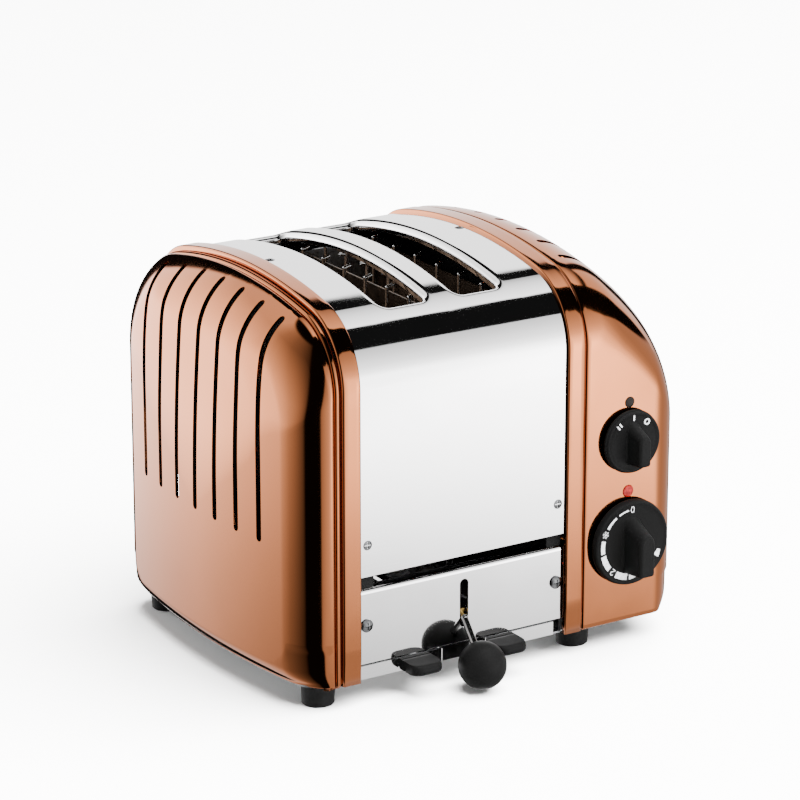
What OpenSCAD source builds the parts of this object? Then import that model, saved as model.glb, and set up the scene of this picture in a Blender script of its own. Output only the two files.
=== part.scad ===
// Two-slot pop up toaster: a folded steel body between two vented end caps, with a
// lever that raises and lowers the bread, a selector, a timer and a crumb tray.
// Millimetres. +X is the control end, -Y the front, +Z up; the table is at Z = 0.

/* [Overall] */
// Length from the left end cap to the right end cap
overall_length = 260; // [240:1:300]
// Depth of the steel body, front sheet to rear sheet
body_depth = 193; // [180:1:220]
// Height of the steel roof above the table
roof_height = 217.5; // [205:1:240]
// Height of the feet, and so of the underside
foot_height = 13; // [10:0.5:20]
// Width of the left end cap with its trim band
left_cap_width = 43; // [38:1:60]
// Width of the right end cap with its trim band
right_cap_width = 88; // [84:1:110]

/* [Arch] */
// Radius of the roof crown
crown_radius = 298; // [220:1:400]
// Radius of the front and rear shoulders
shoulder_radius = 38; // [25:1:45]
// Radius of the upright corners of the end caps
corner_radius = 18; // [8:1:22]
// Radius of the left end face seen from above
left_bulge = 500; // [300:10:900]
// Radius of the right end face seen from above
right_bulge = 300; // [240:2:500]
// Radius of the left cap's roll where it leaves the roof
left_roll = 38; // [26:1:42]
// Radius of the right cap's roll where it leaves the roof
right_roll = 45; // [34:1:60]
// Radius of the left end face seen from the front
left_dome = 1200; // [400:20:2000]
// Radius of the right end face seen from the front
right_dome = 126; // [120:1:200]
// Depth below the roof at which the left end face stands out most
left_dome_drop = 130.3; // [100:0.1:150]
// Depth below the roof at which the right end face stands out most
right_dome_drop = 113.3; // [100:0.1:130]
// Radius of the lower outer corner of the caps
heel_radius = 10; // [4:1:14]

/* [Sheet metal] */
// Thickness of the body and cap sheets
sheet = 1.2; // [0.8:0.1:1.6]
// Gap between two sheets that lie together
sheet_gap = 0.3; // [0.2:0.05:0.5]
// Width of the trim bands
band_width = 11; // [8:0.5:14]
// How far the bands stand out of the steel
band_proud = 3.2; // [2:0.1:4]
// How far the caps stand out of the steel
cap_proud = 2.8; // [1.5:0.1:3.5]
// How far the cover runs on under a band
cover_tuck = 3; // [1:0.5:5]
// Width of the folded flange under the caps
cap_flange = 6; // [4:0.5:8]

/* [Bread slots] */
// Width of a bread slot
slot_width = 30; // [26:0.5:34]
// Length of a bread slot
slot_length = 150; // [130:1:156]
// Distance of the outer elements from the edge of the steel
element_margin = 19; // [16:0.5:22]
// Corner radius of a bread slot
slot_corner = 6; // [3:0.5:10]
// Depth of the lip turned down round a slot
lip_depth = 5; // [3:0.5:8]

/* [Front] */
// Lower edge of the cover above the table
cover_foot = 71; // [66:0.5:80]
// Upper edge of the lower panels
panel_top = 64; // [58:0.5:65]
// Lower edge of the lower panels
panel_foot = 22; // [21.5:0.5:26]
// Width of the flange on top of a lower panel
panel_flange = 7; // [4:0.5:10]
// Height of the screws at the cover's lower corners
cover_screw_z = 88.5; // [80:0.5:100]
// Height of the screws of the lower panels
panel_screw_z = 43.5; // [36:0.5:52]
// Distance of the screws from the edge of the steel
screw_inset = 4.8; // [4:0.1:7]

/* [Vents] */
// Number of vent slots in each end cap
vent_count = 7; // [3:1:8]
// Distance between vent slots
vent_pitch = 20.4; // [16:0.1:21]
// Width of a vent slot
vent_width = 3.5; // [2:0.1:5]
// Height of the lower ends of the vent slots
vent_foot = 90; // [70:1:120]
// Distance from the left band to the upper ends of the left vents
vent_inset_left = 11.5; // [5:0.5:14]
// Distance from the right band to the upper ends of the right vents
vent_inset_right = 7.5; // [5:0.5:14]

/* [Lever] */
// Side shift of the lever from the middle of the steel
lever_shift = 1; // [-3:0.5:3]
// Radius of the lever ball
ball_radius = 13; // [10:0.5:14]
// How far the ball's centre stands in front of the panel
ball_reach = 18; // [15:0.5:24]
// Height of the ball's centre at rest
ball_z = 14.4; // [14:0.1:20]
// Radius of the lever rod
rod_radius = 2; // [1.5:0.1:2.3]
// Height of the rod's bend at rest
bend_z = 35.5; // [33:0.5:38]
// Distance of the pivot behind the front sheet
pivot_depth = 36.5; // [30:0.5:42]
// Height of the pivot
pivot_z = 45; // [42:0.5:48]
// Length of the arm behind the pivot
arm_length = 60; // [50:1:70]
// Rise of the arm's end above the pivot at rest
arm_rise = 14; // [10:0.5:16]
// Travel of the bread carriers
carrier_travel = 28; // [20:0.5:30]
// Lower end of the lever slot
lever_slot_foot = 30.3; // [26:0.1:31]
// Upper end of the lever slot
lever_slot_top = 57.3; // [54:0.1:60]
// Width of the lever slot
lever_slot_width = 5.2; // [4.8:0.1:7]

/* [Crumb tray] */
// Height of the tray's front lip
tray_lip_height = 7.4; // [6:0.1:7.6]
// How far the lip stops short of the right band
tray_short = 6; // [2:0.5:10]
// Width of the tray's middle notch
notch_width = 28; // [27.6:0.1:34]
// Depth of the notch behind the front sheet
notch_depth = 141; // [120:1:150]
// Distance of each grip from the middle of the tray
grip_spacing = 26.7; // [25:0.1:30]
// Width of a grip
grip_width = 18; // [14:0.5:18.5]
// How far a grip stands out
grip_reach = 15; // [10:0.5:20]

/* [Controls] */
// Distance of the knob axis from the end of the right cap
knob_inset = 48; // [42:0.5:55]
// Height of the timer axis
timer_z = 59.6; // [50:0.5:70]
// Height of the selector axis
selector_z = 117; // [110:0.5:125]
// Radius of the timer skirt
timer_radius = 24.6; // [20:0.2:26]
// Radius of the selector skirt
selector_radius = 18.7; // [15:0.1:20]
// Height of the lamp lens
lens_z = 88; // [86.5:0.1:92]
// Height of the index plug
index_z = 138.5; // [137:0.5:145]
// Radius of the control shafts
shaft_radius = 3; // [2.5:0.1:3.5]
// Play between a turning shaft and its bore
running_fit = 0.05; // [0.02:0.01:0.1]

/* [Feet] */
// Radius of a foot
foot_radius = 9.3; // [7:0.1:11]
// Distance of the feet outside the edge of the steel
foot_outset = 16.5; // [14:0.5:20]
// Distance of the feet from the front and rear sheets
foot_inset = 14.5; // [12:0.5:24]

/* [Hidden] */
$fn = 72;

steel = "gainsboro";
copper = "peru";
dark = "#222222";

half_depth = body_depth / 2;
left_end = -overall_length / 2;
right_end = overall_length / 2;
steel_left = left_end + left_cap_width;
steel_right = right_end - right_cap_width;
steel_middle = (steel_left + steel_right) / 2;
slot_pitch = (steel_right - steel_left) / 2 - element_margin;
lever_x = steel_middle + lever_shift;
slot_x = [steel_middle - slot_pitch / 2, steel_middle + slot_pitch / 2];
cap_front = half_depth + cap_proud;
eps = 0.01;

// The body is set back so that the lever ball and the cord gland reach equally far.
gland_reach = 8;
front_reach = half_depth + ball_reach + ball_radius;
rear_reach = cap_front + gland_reach;
body_y = (front_reach - rear_reach) / 2;

// Floor pan: end plates at foot height, a raised middle over the crumb tray.
deck_top = panel_foot + 0.7;
deck_z = deck_top - sheet;
pan_inset = sheet_gap + cap_flange;

function bulge_radius(side) = side < 0 ? left_bulge : right_bulge;

// The rolls and the plan start just outside the sheet, so that they cut it at an angle.
roll_start = 0.5;

// Inner chamber.
chassis_gap = sheet + sheet_gap;
chassis_left = steel_left + 1;
chassis_right = steel_right - 1;
rim_width = 9;
baffle_y = half_depth - 34.5;
baffle_lip = 8;
baffle_hole = 2;
baffle_foot = 66;
baffle_top = roof_height - 17.5;
element_foot = baffle_foot + 8;
element_top = baffle_top - 2;
element_x = [steel_middle - slot_pitch, steel_middle, steel_middle + slot_pitch];
ribbon_foot = element_foot + 10;
ribbon_pitch = 8;
ribbon_height = 1.2;
ribbon_rows = 1 + floor((element_top - 4 - ribbon_foot) / ribbon_pitch);
mica = 1;
guard_radius = 1;
guard_offset = slot_width / 2 + guard_radius / 2;
guard_foot = element_foot + 3;
guard_top = roof_height - 14;
guard_count = 6;
guard_pitch = 21.8;
guard_hook = 0.55 * (slot_pitch / 2 - guard_offset);

// Lever: pivot, bend of the rod, ball and rear pin, as [Y, Z] beside the body's middle.
pivot = [-half_depth + pivot_depth, pivot_z];
bend = [-half_depth, bend_z];
ball = [-half_depth - ball_reach, ball_z];
arm_end = [pivot[0] + sqrt(arm_length * arm_length - arm_rise * arm_rise), pivot_z + arm_rise];
pin_radius = 3;
drive_pin_radius = 2;
hub_radius = 7;
hub_half = 4;
ear = 2;
ear_gap = 0.3;

bend_swell = 0.15;

// Carriage.
guide_radius = 3;
guide_x = [chassis_left + 8, chassis_right - 8];
guide_top = 118;
bush_radius = 5;
bush_clearance = 6.3;
bush_foot = deck_top + carrier_travel + bush_clearance;
bush_top = 72;
bar_foot = arm_end[1] + 5.6;
bar_height = 4;
bar_half = 6;
carrier_foot = 98;
carrier_height = 7;
carrier_half = baffle_y - 6;
rung_count = 5;
rung_radius = 1.5;
rung_half = 11;

// Tray.
tray_gap = 0.3;
tray_wall = 1;
tray_left = steel_left + 1.5;
tray_right = steel_right - tray_short;
tray_middle = (tray_left + tray_right) / 2;
tray_foot = foot_height + sheet;
tray_top = deck_z - 1.5;
tray_back = half_depth - 6;
lip_foot = foot_height + 0.6;
runner = 0.9;

// Controls.
knob_x = right_end - knob_inset;
knob_gap = 1;
bracket_y = -cap_front + sheet + sheet_gap;
bracket_sheet = 1.6;
bracket_x = [knob_x - 26, knob_x + 17];
bracket_foot_x = [knob_x - 19, knob_x + 17];
neck_radius = 4.8;
neck_gap = 0.3;
lens_radius = 3.4;
index_radius = 3;
foot_x = [steel_left - foot_outset, steel_right + foot_outset];
foot_y = half_depth - foot_inset;
screw_radius = 1.9;
screw_head_radius = 3.6;
screw_head = 1.8;
screw_gap = 0.2;
screw_length = 6;
gland_x = right_end - 40;
gland_z = 36;
gland_radius = 7;
gland_bore = 3.6;
gland_depth = 12;
gland_collar = 3;
cap_inside = cap_front - sheet - sheet_gap;

module place() { translate([0, body_y, 0]) children(); }

module along_x(x0, x1) {
    translate([x0, 0, 0]) rotate([90, 0, 90]) linear_extrude(x1 - x0) children();
}
module along_y(y0, y1) {
    translate([0, y1, 0]) rotate([90, 0, 0]) linear_extrude(y1 - y0) children();
}
module along_z(z0, z1) { translate([0, 0, z0]) linear_extrude(z1 - z0) children(); }

module block(x, y, z) {
    translate([x[0], y[0], z[0]]) cube([x[1] - x[0], y[1] - y[0], z[1] - z[0]]);
}
// Round bar from one point to another.
module bar(p, q, radius) {
    d = q - p;
    length = norm(d);
    translate(p) rotate([0, acos(d[2] / length), atan2(d[1], d[0])]) cylinder(h = length, r = radius);
}
module x_rod(x0, x1, y, z, radius) { bar([x0, y, z], [x1, y, z], radius); }
module y_rod(x, y0, y1, z, radius) { bar([x, y0, z], [x, y1, z], radius); }

module rounded_square(size_x, size_y, radius) {
    square([size_x - 2 * radius, size_y], center = true);
    square([size_x, size_y - 2 * radius], center = true);
    for (sx = [-1, 1], sy = [-1, 1])
        translate([sx * (size_x / 2 - radius), sy * (size_y / 2 - radius)]) circle(radius);
}

// A loaf outline: a crown arc and two corner arcs that meet it smoothly, on straight
// sides. The offset moves the whole outline out (or in), keeping the arc centres.
module loaf(half, apex, crown, corner, foot, out = 0) {
    crown_z = apex - crown;
    corner_y = half - corner;
    corner_z = crown_z + sqrt(pow(crown - corner, 2) - pow(corner_y, 2));
    reach = 2 * crown / (corner_z - crown_z);
    intersection() {
        translate([0, crown_z]) circle(crown + out, $fn = 360);
        polygon([
            [0, crown_z],
            [corner_y * reach, crown_z + (corner_z - crown_z) * reach],
            [-corner_y * reach, crown_z + (corner_z - crown_z) * reach]
        ]);
        translate([-half - out, foot]) square([2 * (half + out), apex]);
    }
    for (s = [-1, 1]) translate([s * corner_y, corner_z]) circle(corner + out);
    translate([-half - out, foot]) square([2 * (half + out), corner_z - foot]);
}

// Front-to-rear section of the body.
module arch(out, foot) { loaf(half_depth, roof_height, crown_radius, shoulder_radius, foot, out); }
module arch_sheet(out, inner, foot) {
    difference() {
        arch(out, foot);
        arch(inner, foot - 1);
    }
}

// Plan of an end cap; side is -1 for the left cap and 1 for the right one.
module cap_plan(side, seam, out) {
    rotate(-90 * side)
        loaf(cap_front + roll_start, overall_length / 2, bulge_radius(side), corner_radius, abs(seam), out);
}

module slot_plan(grow) {
    rounded_square(slot_width + 2 * grow, slot_length + 2 * grow, slot_corner + grow);
}

module screw_hole_y(x, z, y0, y1) { y_rod(x, y0, y1, z, screw_radius + screw_gap); }

// Pan head screw with its head at the origin's +Z side.
module pan_screw(length) {
    difference() {
        union() {
            translate([0, 0, -length]) cylinder(h = length, r = screw_radius);
            cylinder(h = 0.6, r = screw_head_radius);
            translate([0, 0, 0.6]) intersection() {
                translate([0, 0, -5.2]) sphere(6.4);
                cylinder(h = screw_head, r = screw_head_radius);
            }
        }
        for (a = [0, 90]) rotate(a) block([-0.35, 0.35], [-2, 2], [0.9, 3]);
    }
}

cover_screw_x = [steel_left + screw_inset, steel_right - screw_inset];

module body_cover() {
    color(steel) place() difference() {
        union() {
            along_x(steel_left - cover_tuck, steel_right + cover_tuck) arch_sheet(0, -sheet, cover_foot);
            intersection() {
                along_x(steel_left, steel_right) arch_sheet(-sheet / 2, -lip_depth, roof_height / 2);
                for (x = slot_x) translate([x, 0, 0]) along_z(0, roof_height) slot_plan(sheet);
            }
        }
        for (x = slot_x) translate([x, 0, 0]) along_z(roof_height / 2, roof_height + 1) slot_plan(0);
        for (x = cover_screw_x) {
            screw_hole_y(x, cover_screw_z, -half_depth - 1, half_depth + 1);
            translate([x, 0, roof_height - 5]) cylinder(h = 10, r = screw_radius + screw_gap);
        }
    }
}

// Flat panel with its top edge folded inward; the front one has the lever slot.
module lower_panel() {
    flange_inset = rim_width + 1 + sheet_gap;
    lap = 0.1;
    along_x(steel_left + flange_inset, steel_right - flange_inset)
        translate([-half_depth + sheet - lap, panel_top - sheet]) square([panel_flange + lap, sheet]);
    along_x(steel_left + sheet_gap, steel_right - sheet_gap) {
        translate([-half_depth, panel_foot]) square([sheet, panel_top - sheet - panel_foot]);
        intersection() {
            translate([-half_depth + sheet, panel_top - sheet]) circle(sheet);
            translate([-half_depth, panel_top - 1.8 * sheet]) square([sheet, 1.8 * sheet]);
        }
    }
}
module lower_front_panel() {
    color(steel) place() difference() {
        lower_panel();
        along_y(-half_depth - 1, -half_depth + sheet + 1) {
            translate([lever_x - lever_slot_width / 2, lever_slot_foot + lever_slot_width / 2])
                square([lever_slot_width, lever_slot_top - lever_slot_foot - lever_slot_width]);
            for (z = [lever_slot_foot + lever_slot_width / 2, lever_slot_top - lever_slot_width / 2])
                translate([lever_x, z]) circle(lever_slot_width / 2);
        }
        for (x = cover_screw_x)
            screw_hole_y(x, panel_screw_z, -half_depth - 1, -half_depth + sheet + 1);
    }
}
module lower_rear_panel() {
    color(steel) place() difference() {
        mirror([0, 1, 0]) lower_panel();
        for (x = cover_screw_x)
            screw_hole_y(x, panel_screw_z, half_depth - sheet - 1, half_depth + 1);
    }
}

// Loaf-shaped block of an end cap, moved in by inset and standing on floor_z. The arch
// is cut by the roll first and by the plan after it; each cutter runs past the block.
module cap_arch(side, seam, inset, floor_z) {
    x = [seam, side * (overall_length / 2 + 2)];
    along_x(min(x), max(x)) arch(cap_proud - inset, floor_z);
}
module cap_roll(side, seam, inset) {
    rim = crown_radius + cap_proud + roll_start;
    face = overall_length / 2 + roll_start;
    centre_z = roof_height - crown_radius;
    drop = side < 0 ? left_dome_drop : right_dome_drop;
    apex = crown_radius + cap_proud - drop;
    dome = side < 0 ? left_dome : right_dome;
    roll = side < 0 ? left_roll : right_roll;
    back = abs(seam) - 2;
    translate([0, 0, centre_z]) rotate([0, 90 * side, 0]) rotate_extrude() intersection() {
        union() {
            translate([apex, 0]) loaf(rim - apex, face, dome, roll, 0, -inset);
            translate([0, back]) square([apex, face - inset - back]);
        }
        translate([0, back]) square([rim, face]);
    }
}
module cap_heel(side, seam, inset) {
    face = overall_length / 2 + 1;
    along_y(-cap_front - 3, cap_front + 3) mirror([side < 0 ? 1 : 0, 0]) difference() {
        translate([abs(seam) - 2, foot_height - 2]) square([overall_length / 2, roof_height + 20]);
        translate([face - heel_radius, foot_height - 1 + heel_radius]) difference() {
            translate([0, -heel_radius - 3]) square(heel_radius + 3);
            circle(heel_radius - inset);
        }
    }
}
module cap_block(side, seam, inset, floor_z) {
    intersection() {
        intersection() {
            intersection() {
                cap_arch(side, seam, inset, floor_z);
                cap_roll(side, seam, inset);
            }
            along_z(floor_z - 1, roof_height + 20) cap_plan(side, seam - 2 * side, -inset);
        }
        cap_heel(side, seam, inset);
    }
}
module vents(side, seam) {
    inner = abs(seam) + (side < 0 ? vent_inset_left : vent_inset_right);
    for (i = [0 : vent_count - 1]) {
        y = (i - (vent_count - 1) / 2) * vent_pitch;
        x = [side * inner, side * (overall_length / 2 + 1)];
        block([min(x), max(x)], [y - vent_width / 2, y + vent_width / 2], [vent_foot, roof_height + 10]);
        x_rod(min(x), max(x), y, vent_foot, vent_width / 2);
    }
}
module end_cap(side, seam) {
    difference() {
        cap_block(side, seam, 0, foot_height);
        cap_block(side, seam - side, sheet, foot_height + sheet);
        along_z(foot_height - 1, foot_height + sheet + 1) cap_plan(side, seam - side, -cap_flange);
        vents(side, seam);
    }
}
left_seam = steel_left - band_width;
right_seam = steel_right + band_width;

module left_end_cap() { color(copper) place() end_cap(-1, left_seam); }
module right_end_cap() {
    color(copper) place() difference() {
        end_cap(1, right_seam);
        for (z = [timer_z, selector_z])
            y_rod(knob_x, -cap_front - 1, bracket_y, z, neck_radius + neck_gap);
        y_rod(knob_x, -cap_front - 1, bracket_y, lens_z, lens_radius + neck_gap / 2);
        y_rod(knob_x, -cap_front - 1, bracket_y, index_z, index_radius + neck_gap / 2);
        y_rod(gland_x, cap_front - 3, cap_front + 1, gland_z, gland_radius + neck_gap / 2);
    }
}

// Channel band that covers the joint between steel and cap.
module trim_band(x0) {
    difference() {
        along_x(x0, x0 + band_width) arch_sheet(band_proud, sheet_gap, foot_height);
        along_x(x0 + sheet, x0 + band_width - sheet) arch_sheet(band_proud - sheet, 0, foot_height - 1);
    }
    for (s = [-1, 1]) block([x0, x0 + band_width],
        [s < 0 ? -half_depth - band_proud : half_depth + sheet_gap,
         s < 0 ? -half_depth - sheet_gap : half_depth + band_proud],
        [foot_height, foot_height + sheet]);
}
module left_trim_band() { color(copper) place() trim_band(left_seam); }
module right_trim_band() { color(copper) place() trim_band(steel_right); }

// Floor pan, with the plan of the caps at its ends and the tray's tunnel in the middle.
module base_plate() {
    tunnel = [steel_left - 0.2, steel_right + 0.2];
    hole = foot_height + sheet;
    color("silver") place() difference() {
        union() {
            for (side = [-1, 1]) {
                edge = side < 0 ? tunnel[0] : tunnel[1];
                along_z(foot_height, foot_height + sheet) cap_plan(side, edge, -pan_inset);
                block([side < 0 ? edge : edge - sheet, side < 0 ? edge + sheet : edge],
                    [-half_depth + 2, half_depth - 2], [foot_height, deck_top]);
            }
            block(tunnel, [-half_depth + 2, half_depth - 2], [deck_z, deck_top]);
            block([tunnel[0], tray_left + 4], [-half_depth + 2, half_depth - 2],
                [foot_height, foot_height + runner]);
            block([tray_right - 4, tunnel[1]], [-half_depth + 2, half_depth - 2],
                [foot_height, foot_height + runner]);
        }
        for (x = slot_x) translate([x, 0, 0]) along_z(deck_z - 1, deck_top + 1)
            rounded_square(slot_width - 2, 2 * baffle_y - 8, slot_corner);
        for (x = foot_x, y = [-foot_y, foot_y])
            translate([x, y, foot_height - 1]) cylinder(h = 4, r = screw_radius + screw_gap);
    }
}

// Fixed strip that fills the tray's notch under the lever.
module tray_centre_strip() {
    half = notch_width / 2 - tray_gap;
    color(steel) place() {
        block([lever_x - half, lever_x + half], [-half_depth, -half_depth + sheet],
            [lip_foot, deck_z]);
        block([lever_x - half, lever_x + half], [-half_depth + sheet - eps, -half_depth + 12],
            [deck_z - sheet, deck_z]);
    }
}

air_pitch = 44;
air_drop = 67.5;
air_width = 26;
air_height = 50;
lead_hole_radius = 7;
// Arch-shaped inner wall with a rim under the cover for its screws.
module chassis_plate(x0, x1, rim0, rim1) {
    difference() {
        union() {
            along_x(x0, x1) arch(-chassis_gap, deck_top);
            along_x(rim0, rim1) arch_sheet(-chassis_gap, -chassis_gap - sheet, deck_top);
        }
        for (x = cover_screw_x) {
            for (z = [cover_screw_z, panel_screw_z])
                screw_hole_y(x, z, -half_depth - 1, half_depth + 1);
            translate([x, 0, roof_height - 6]) cylinder(h = 10, r = screw_radius + screw_gap);
        }
        // Openings that let warm air and the leads through to the end caps.
        for (i = [-1, 0, 1]) along_x(x0 - 1, x1 + 1)
            translate([i * air_pitch, roof_height - air_drop]) rounded_square(air_width, air_height, 6);
        along_x(x0 - 1, x1 + 1) translate(lead_hole) circle(lead_hole_radius);
    }
}
module left_chassis_plate() {
    color("silver") place()
        chassis_plate(chassis_left, chassis_left + sheet, chassis_left, chassis_left + rim_width);
}
module right_chassis_plate() {
    color("silver") place()
        chassis_plate(chassis_right - sheet, chassis_right, chassis_right - rim_width, chassis_right);
}

// End wall of the toasting chambers.
module baffle(side) {
    y = side * baffle_y;
    difference() {
        union() {
            block([chassis_left + sheet + sheet_gap, chassis_right - sheet - sheet_gap],
                [y - sheet / 2, y + sheet / 2], [baffle_foot, baffle_top]);
            block([chassis_left + sheet + sheet_gap, chassis_right - sheet - sheet_gap],
                [min(y, y + side * baffle_lip), max(y, y + side * baffle_lip)],
                [baffle_foot, baffle_foot + sheet]);
        }
        for (x = slot_x) y_rod(x + guard_offset - 6, y - 2, y + 2, baffle_top - baffle_lip, baffle_hole);
    }
}
module front_baffle() { color("silver") place() baffle(-1); }
module rear_baffle() { color("silver") place() baffle(1); }

// Mica sheet wound with flat heating ribbon.
module element(x) {
    half = baffle_y - sheet / 2 - sheet_gap;
    ribbon = mica / 2 + 0.3;
    block([x - mica / 2, x + mica / 2], [-half, half], [element_foot, element_top]);
    for (i = [0 : ribbon_rows - 1]) {
        z = ribbon_foot + i * ribbon_pitch;
        block([x - ribbon, x + ribbon], [-half + 6, half - 6], [z, z + ribbon_height]);
    }
}
module element_left() { color("#5a4c3c") place() element(element_x[0]); }
module element_centre() { color("#5a4c3c") place() element(element_x[1]); }
module element_right() { color("#5a4c3c") place() element(element_x[2]); }

// Upright wires on a long rod, with hooked tips turned toward the element.
module guard_wires(x, side) {
    half = baffle_y - sheet / 2 - sheet_gap;
    y_rod(x, -half, half, guard_foot, guard_radius);
    for (i = [0 : guard_count - 1]) {
        y = (i - (guard_count - 1) / 2) * guard_pitch;
        bar([x, y, guard_foot], [x, y, guard_top], guard_radius);
        translate([x, y, guard_top]) sphere(guard_radius);
        bar([x, y, guard_top], [x + side * guard_hook, y, guard_top + 1], guard_radius);
    }
}
module guard_wires_1() { color("silver") place() guard_wires(slot_x[0] - guard_offset, -1); }
module guard_wires_2() { color("silver") place() guard_wires(slot_x[0] + guard_offset, 1); }
module guard_wires_3() { color("silver") place() guard_wires(slot_x[1] - guard_offset, -1); }
module guard_wires_4() { color("silver") place() guard_wires(slot_x[1] + guard_offset, 1); }

module guide_rods() {
    color("silver") place() for (x = guide_x)
        translate([x, 0, deck_top]) cylinder(h = guide_top - deck_top, r = guide_radius);
}

// Bracket with two ears that carry the lever's pin.
module pivot_bracket() {
    inner = hub_half + ear_gap;
    color("silver") place() difference() {
        union() {
            block([lever_x - inner - ear, lever_x + inner + ear], [pivot[0] - 9, pivot[0] + 9],
                [deck_top, deck_top + ear]);
            for (s = [-1, 1]) {
                x = lever_x + s * (inner + ear / 2);
                block([x - ear / 2, x + ear / 2], [pivot[0] - 8, pivot[0] + 8], [deck_top, pivot_z]);
                x_rod(x - ear / 2, x + ear / 2, pivot[0], pivot_z, 8);
            }
        }
        x_rod(lever_x - 10, lever_x + 10, pivot[0], pivot_z, pin_radius);
    }
}
module lever_pivot_pin() {
    half = hub_half + ear_gap + ear + 1.5;
    color("silver") place() x_rod(lever_x - half, lever_x + half, pivot[0], pivot_z, pin_radius);
}

// Hub on the pin and an arm with a drive pin that lifts the carriage.
module lever_arm() {
    color("silver") place() difference() {
        union() {
            x_rod(lever_x - hub_half, lever_x + hub_half, pivot[0], pivot_z, hub_radius);
            translate([0, pivot[0], pivot_z]) rotate([asin(arm_rise / arm_length), 0, 0])
                block([lever_x - 1.5, lever_x + 1.5], [0, arm_length], [-4, 4]);
            x_rod(lever_x - 1.5, lever_x + 1.5, arm_end[0], arm_end[1], 4.6);
            x_rod(lever_x, lever_x + 7, arm_end[0], arm_end[1], drive_pin_radius);
        }
        x_rod(lever_x - 5, lever_x + 5, pivot[0], pivot_z, pin_radius + running_fit);
    }
}
// Bent rod from the hub through the panel slot into the ball.
rod_start = pivot + (bend - pivot) * (hub_radius - 0.5) / norm(bend - pivot);
module lever_rod() {
    color("silver") place() {
        bar([lever_x, rod_start[0], rod_start[1]], [lever_x, bend[0], bend[1]], rod_radius);
        translate([lever_x, bend[0], bend[1]]) sphere(rod_radius + bend_swell);
        bar([lever_x, bend[0], bend[1]], [lever_x, ball[0], ball[1]], rod_radius);
    }
}
module lever_ball() {
    color(dark) place() difference() {
        translate([lever_x, ball[0], ball[1]]) sphere(ball_radius, $fn = 96);
        bar([lever_x, bend[0], bend[1]], [lever_x, ball[0], ball[1]], rod_radius);
    }
}
// Brass collar on the rod, seen through the slot.
module lever_collar() {
    way = (pivot - bend) / norm(pivot - bend);
    near = bend + way * 3;
    far = bend + way * 11;
    color("gold") place() difference() {
        bar([lever_x, near[0], near[1]], [lever_x, far[0], far[1]], 4);
        bar([lever_x, bend[0], bend[1]], [lever_x, pivot[0], pivot[1]], rod_radius);
    }
}

// Cross bar that slides on the guide rods, with a fork for the drive pin.
module carriage_bar() {
    fork = [lever_x + 3, lever_x + 6];
    color("silver") place() difference() {
        union() {
            block([guide_x[0], guide_x[1]], [-bar_half, bar_half], [bar_foot, bar_foot + bar_height]);
            for (x = guide_x) translate([x, 0, bush_foot]) cylinder(h = bush_top - bush_foot, r = bush_radius);
            block(fork, [arm_end[0] - 8, arm_end[0] + 8], [arm_end[1] - 4.5, bar_foot + bar_height]);
        }
        for (x = guide_x) translate([x, 0, bush_foot - 1])
            cylinder(h = bush_top - bush_foot + 2, r = guide_radius + running_fit);
        // Slot of the drive pin, longer than the pin's sideways travel.
        along_x(fork[0] - 1, fork[1] + 1) translate(arm_end) {
            square([5, 2 * (drive_pin_radius + 0.3)], center = true);
            for (y = [-2.5, 2.5]) translate([y, 0]) circle(drive_pin_radius + 0.3);
        }
    }
}
// Rail with rungs that the bread stands on.
module bread_carrier(x) {
    block([x - 1, x + 1], [-carrier_half, carrier_half], [carrier_foot, carrier_foot + carrier_height]);
    block([x - 1, x + 1], [-bar_half, bar_half], [bar_foot + bar_height, carrier_foot + 1]);
    for (i = [0 : rung_count - 1]) {
        y = (i / (rung_count - 1) * 2 - 1) * (carrier_half - rung_radius);
        x_rod(x - rung_half, x + rung_half, y, carrier_foot + carrier_height, rung_radius);
    }
}
module bread_carrier_left() { color("silver") place() bread_carrier(slot_x[0]); }
module bread_carrier_right() { color("silver") place() bread_carrier(slot_x[1]); }

// Two pans joined at the back, open in the middle so that they clear the lever.
module tray_plan(inset) {
    difference() {
        translate([tray_left + inset, -half_depth + sheet + inset])
            square([tray_right - tray_left - 2 * inset, tray_back + half_depth - sheet - 2 * inset]);
        translate([lever_x - notch_width / 2 - inset, -half_depth - 1])
            square([notch_width + 2 * inset, notch_depth + 1 + inset]);
    }
}
module crumb_tray() {
    color(steel) place() {
        difference() {
            along_z(tray_foot, tray_top) tray_plan(0);
            along_z(tray_foot + tray_wall, tray_top + 1) tray_plan(tray_wall);
        }
        for (x = [[steel_left + sheet_gap, lever_x - notch_width / 2],
                  [lever_x + notch_width / 2, tray_right]])
            block(x, [-half_depth, -half_depth + sheet + eps], [lip_foot, lip_foot + tray_lip_height]);
    }
}
// Moulded finger grip: a tongue with a rounded nose and a groove below.
module tray_grip(x) {
    z = [lip_foot + 0.2, lip_foot + tray_lip_height + 0.3];
    nose = (z[1] - z[0]) / 2;
    difference() {
        union() {
            block([x - grip_width / 2, x + grip_width / 2],
                [-half_depth - grip_reach + nose, -half_depth - eps], z);
            x_rod(x - grip_width / 2, x + grip_width / 2,
                -half_depth - grip_reach + nose, (z[0] + z[1]) / 2, nose);
        }
        block([x - grip_width, x + grip_width], [-half_depth - 6, -half_depth - 3], [z[0] - 1, z[0] + 2]);
    }
}
module tray_grip_left() { color(dark) place() tray_grip(tray_middle - grip_spacing); }
module tray_grip_right() { color(dark) place() tray_grip(tray_middle + grip_spacing); }

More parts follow.
